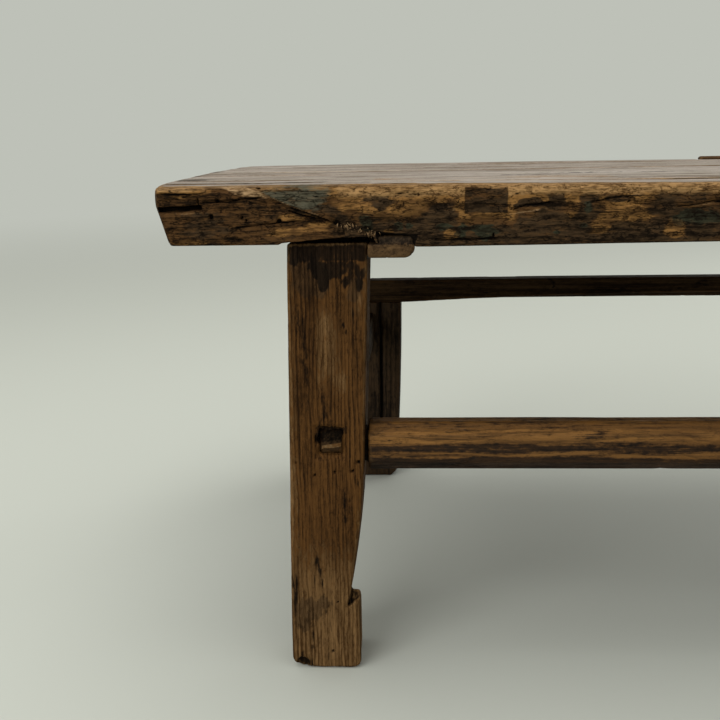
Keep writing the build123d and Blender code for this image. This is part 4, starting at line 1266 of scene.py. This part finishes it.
def splinter_tree():
    """Thin cones stood along a line, leaning at random."""
    tree, net, given = geometry_tree("torn_fibres", (
        ("Count", "NodeSocketInt"), ("Length", "NodeSocketFloat"), ("Seed", "NodeSocketInt"),
        ("Material", "NodeSocketMaterial")))
    curve = net.add("GeometryNodeMeshToCurve", {0: given["Geometry"]}).outputs[0]
    spots = net.add("GeometryNodeCurveToPoints", {"Curve": curve, "Count": given["Count"]})
    jitter = net.add("FunctionNodeRandomValue", {0: (-0.003, 0, -0.002), 1: (0.003, 0, 0.002),
                                                 "Seed": given["Seed"]}, data_type="FLOAT_VECTOR")
    moved = net.add("GeometryNodeSetPosition", {0: spots.outputs[0], "Offset": jitter.outputs[0]})
    thick = net.add("ShaderNodeMath", {0: given["Length"], 1: 0.09}, operation="MULTIPLY")
    fibre = net.add("GeometryNodeMeshCone", {
        "Vertices": 5, "Radius Top": 0.0, "Radius Bottom": thick.outputs[0],
        "Depth": given["Length"]})
    lean = net.add("FunctionNodeRandomValue", {0: (2.5, -0.7, -0.6), 1: (3.05, 0.7, 0.6),
                                               "Seed": given["Seed"]}, data_type="FLOAT_VECTOR")
    size = net.add("FunctionNodeRandomValue", {2: 0.35, 3: 1.0, "Seed": given["Seed"]},
                   data_type="FLOAT")
    placed = net.add("GeometryNodeInstanceOnPoints", {
        "Points": moved.outputs[0], "Instance": fibre.outputs[0], "Rotation": lean.outputs[0],
        "Scale": size.outputs[1]})
    finish_tree(net, placed.outputs[0], given["Material"])
    return tree


def dowel_tree():
    """Fluted rods across a joint, one at each point."""
    tree, net, given = geometry_tree("bamboo_dowels", (
        ("Radius", "NodeSocketFloat"), ("Length", "NodeSocketFloat"), ("Facets", "NodeSocketInt"),
        ("Material", "NodeSocketMaterial")))
    rod = net.add("GeometryNodeMeshCylinder", {
        "Vertices": given["Facets"], "Radius": given["Radius"], "Depth": given["Length"],
        "Side Segments": 3})
    placed = net.add("GeometryNodeInstanceOnPoints", {
        "Points": given["Geometry"], "Instance": rod.outputs[0],
        "Rotation": (math.radians(90), 0, 0)})
    finish_tree(net, placed.outputs[0], given["Material"])
    return tree


class KANG_OT_splinters(bpy.types.Operator):
    """Stands torn fibres along the broken end of the ledge"""

    bl_idname = "kang.splinters"
    bl_label = "Torn fibres"

    def execute(self, context):
        sizes, colours = context.scene.kang_sizes, context.scene.kang_colours
        material = wood("torn_fibre", colours.fresh_tan, colours.fresh_brown, 0, (0, -240, 380),
                        (1.5, 4, 0.3), ())
        path = [(x * MM, (FRONT_Y + 2.6) * MM, z * MM) for x, z in TORN_EDGE]
        values = {"Count": sizes.splinter_count, "Length": sizes.splinter_length, "Seed": 7,
                  "Material": material}
        piece = grow("torn_fibres", line_mesh("torn_line", [path]), splinter_tree(), values)
        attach(piece, "root")
        return {"FINISHED"}


class KANG_OT_dowels(bpy.types.Operator):
    """Makes the split-bamboo dowels between the boards"""

    bl_idname = "kang.dowels"
    bl_label = "Bamboo dowels"

    def execute(self, context):
        sizes, colours = context.scene.kang_sizes, context.scene.kang_colours
        material = wood("split_bamboo", colours.bamboo, colours.wedge_pale, 1, (0, 0, 300),
                        (0.9, 3, 0.3), ())
        tree = dowel_tree()
        for word in ("front", "rear"):
            node = f"board_dowels_{word}"
            low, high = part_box(node)
            radius = (high.z - low.z) / 2
            spacing = (high.x - low.x - 2 * radius) / (DOWEL_COUNT - 1)
            centres = [(low.x + radius + i * spacing, (low.y + high.y) / 2, (low.z + high.z) / 2)
                       for i in range(DOWEL_COUNT)]
            mesh = bpy.data.meshes.new(node)
            mesh.from_pydata(centres, [], [])
            values = {"Radius": radius, "Length": high.y - low.y, "Facets": sizes.dowel_flutes,
                      "Material": material}
            piece = grow(f"bamboo_dowels_{word}", mesh, tree, values)
            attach(piece, "root")
            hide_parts(node)
        return {"FINISHED"}


# Studio

CAMERA_PLACE = (-0.3634, -1.1310, 0.4455)
CAMERA_PITCH, CAMERA_YAW, CAMERA_ROLL = 12.020, -3.566, -1.019     # degrees
CAMERA_LENS = 54.5                                                 # for a sensor 36 mm wide


def floor_material(colours):
    """A pale floor that runs into the backdrop a few metres away, for the camera only."""
    material = bpy.data.materials.new("studio_floor")
    material.use_nodes = True
    material.node_tree.nodes.clear()
    net = Net(material.node_tree)
    place = net.add("ShaderNodeTexCoord").outputs["Object"]
    reach = net.add("ShaderNodeVectorMath", {0: place}, operation="LENGTH").outputs["Value"]
    seen = net.add("ShaderNodeLightPath").outputs["Is Camera Ray"]
    fade = net.math("MULTIPLY", net.span(reach, 1.2, 5.5), seen)
    floor = net.add("ShaderNodeBsdfPrincipled", {"Base Color": (*colours.floor, 1),
                                                 "Roughness": 0.6, "Specular IOR Level": 0.2})
    glow = net.add("ShaderNodeEmission", {"Color": (*colours.backdrop, 1)})
    mixed = net.add("ShaderNodeMixShader", {0: fade, 1: floor.outputs[0], 2: glow.outputs[0]})
    net.add("ShaderNodeOutputMaterial", {"Surface": mixed.outputs[0]})
    return material


def area_light(name, place, target, size, watts):
    """A square soft light that faces a point."""
    light = bpy.data.lights.new(name, "AREA")
    light.shape, light.size, light.energy = "SQUARE", size, watts
    lamp = bpy.data.objects.new(name, light)
    lamp.location = place
    lamp.rotation_euler = (Vector(target) - Vector(place)).to_track_quat("-Z", "Y").to_euler()
    bpy.context.scene.collection.objects.link(lamp)


class KANG_OT_studio(bpy.types.Operator):
    """Makes the floor, the soft light and the camera"""

    bl_idname = "kang.studio"
    bl_label = "Studio"

    def execute(self, context):
        scene, colours = context.scene, context.scene.kang_colours
        bpy.ops.mesh.primitive_circle_add(vertices=96, radius=14, fill_type="NGON",
                                          location=(0, 0, -0.0005))
        floor = context.object
        floor.name = "studio_floor"
        floor.data.materials.append(floor_material(colours))

        world = bpy.data.worlds.new("studio")
        scene.world = world
        world.use_nodes = True
        net = Net(world.node_tree)
        world.node_tree.nodes.clear()
        path = net.add("ShaderNodeLightPath").outputs
        seen = net.math("MAXIMUM", path["Is Camera Ray"], path["Is Glossy Ray"])
        lit = net.add("ShaderNodeBackground", {0: (1.0, 1.0, 0.97, 1), 1: 0.7})
        shown = net.add("ShaderNodeBackground", {0: (*colours.backdrop, 1), 1: 1.0})
        mixed = net.add("ShaderNodeMixShader",
                        {0: seen, 1: lit.outputs[0], 2: shown.outputs[0]})
        net.add("ShaderNodeOutputWorld", {0: mixed.outputs[0]})

        area_light("overhead", (-0.6, 0.2, 2.6), (0, 0, 0.3), 2.0, 27)
        area_light("front_soft", (-1.6, -2.2, 1.5), (-0.1, 0, 0.25), 1.6, 34)
        area_light("rear_soft", (1.8, 2.2, 1.6), (0.1, 0, 0.25), 1.6, 20)

        pitch, yaw, roll = (math.radians(a) for a in (CAMERA_PITCH, CAMERA_YAW, CAMERA_ROLL))
        forward = Vector((math.sin(yaw) * math.cos(pitch), math.cos(yaw) * math.cos(pitch),
                          -math.sin(pitch)))
        right = Vector((math.cos(yaw), -math.sin(yaw), 0))
        up = right.cross(forward)
        rolled_right = math.cos(roll) * right + math.sin(roll) * up
        rolled_up = math.cos(roll) * up - math.sin(roll) * right
        camera = bpy.data.objects.new("camera", bpy.data.cameras.new("camera"))
        camera.data.sensor_width = 36
        camera.data.lens = CAMERA_LENS
        axes = Matrix((rolled_right, rolled_up, -forward)).transposed()
        camera.matrix_world = Matrix.Translation(CAMERA_PLACE) @ axes.to_4x4()
        scene.collection.objects.link(camera)
        scene.camera = camera
        scene.view_settings.view_transform = "Standard"
        return {"FINISHED"}


class KANG_PT_panel(bpy.types.Panel):
    """Lists the sizes, the colours and the pieces."""

    bl_idname = "KANG_PT_panel"
    bl_label = "Kang table"
    bl_space_type = "VIEW_3D"
    bl_region_type = "UI"
    bl_category = "Kang table"

    def draw(self, context):
        layout = self.layout
        for group in (context.scene.kang_sizes, context.scene.kang_colours):
            box = layout.box()
            for name in group.__annotations__:
                box.prop(group, name)
        for operator in OPERATORS:
            layout.operator(operator.bl_idname)


OPERATORS = (KANG_OT_top, KANG_OT_rear_patch, KANG_OT_dowels, KANG_OT_splinters, KANG_OT_battens,
             KANG_OT_front_legs, KANG_OT_rear_legs, KANG_OT_front_stretcher, KANG_OT_back_rails,
             KANG_OT_wedges, KANG_OT_studio)
CLASSES = (KangTableSizes, KangTableColours, *OPERATORS, KANG_PT_panel)


def register():
    for item in CLASSES:
        bpy.utils.register_class(item)
    bpy.types.Scene.kang_sizes = PointerProperty(type=KangTableSizes)
    bpy.types.Scene.kang_colours = PointerProperty(type=KangTableColours)


def unregister():
    del bpy.types.Scene.kang_sizes
    del bpy.types.Scene.kang_colours
    for item in reversed(CLASSES):
        bpy.utils.unregister_class(item)


def main():
    """Makes every piece in order."""
    register()
    for operator in OPERATORS:
        group, name = operator.bl_idname.split(".")
        getattr(getattr(bpy.ops, group), name)()


if __name__ == "__main__":
    main()
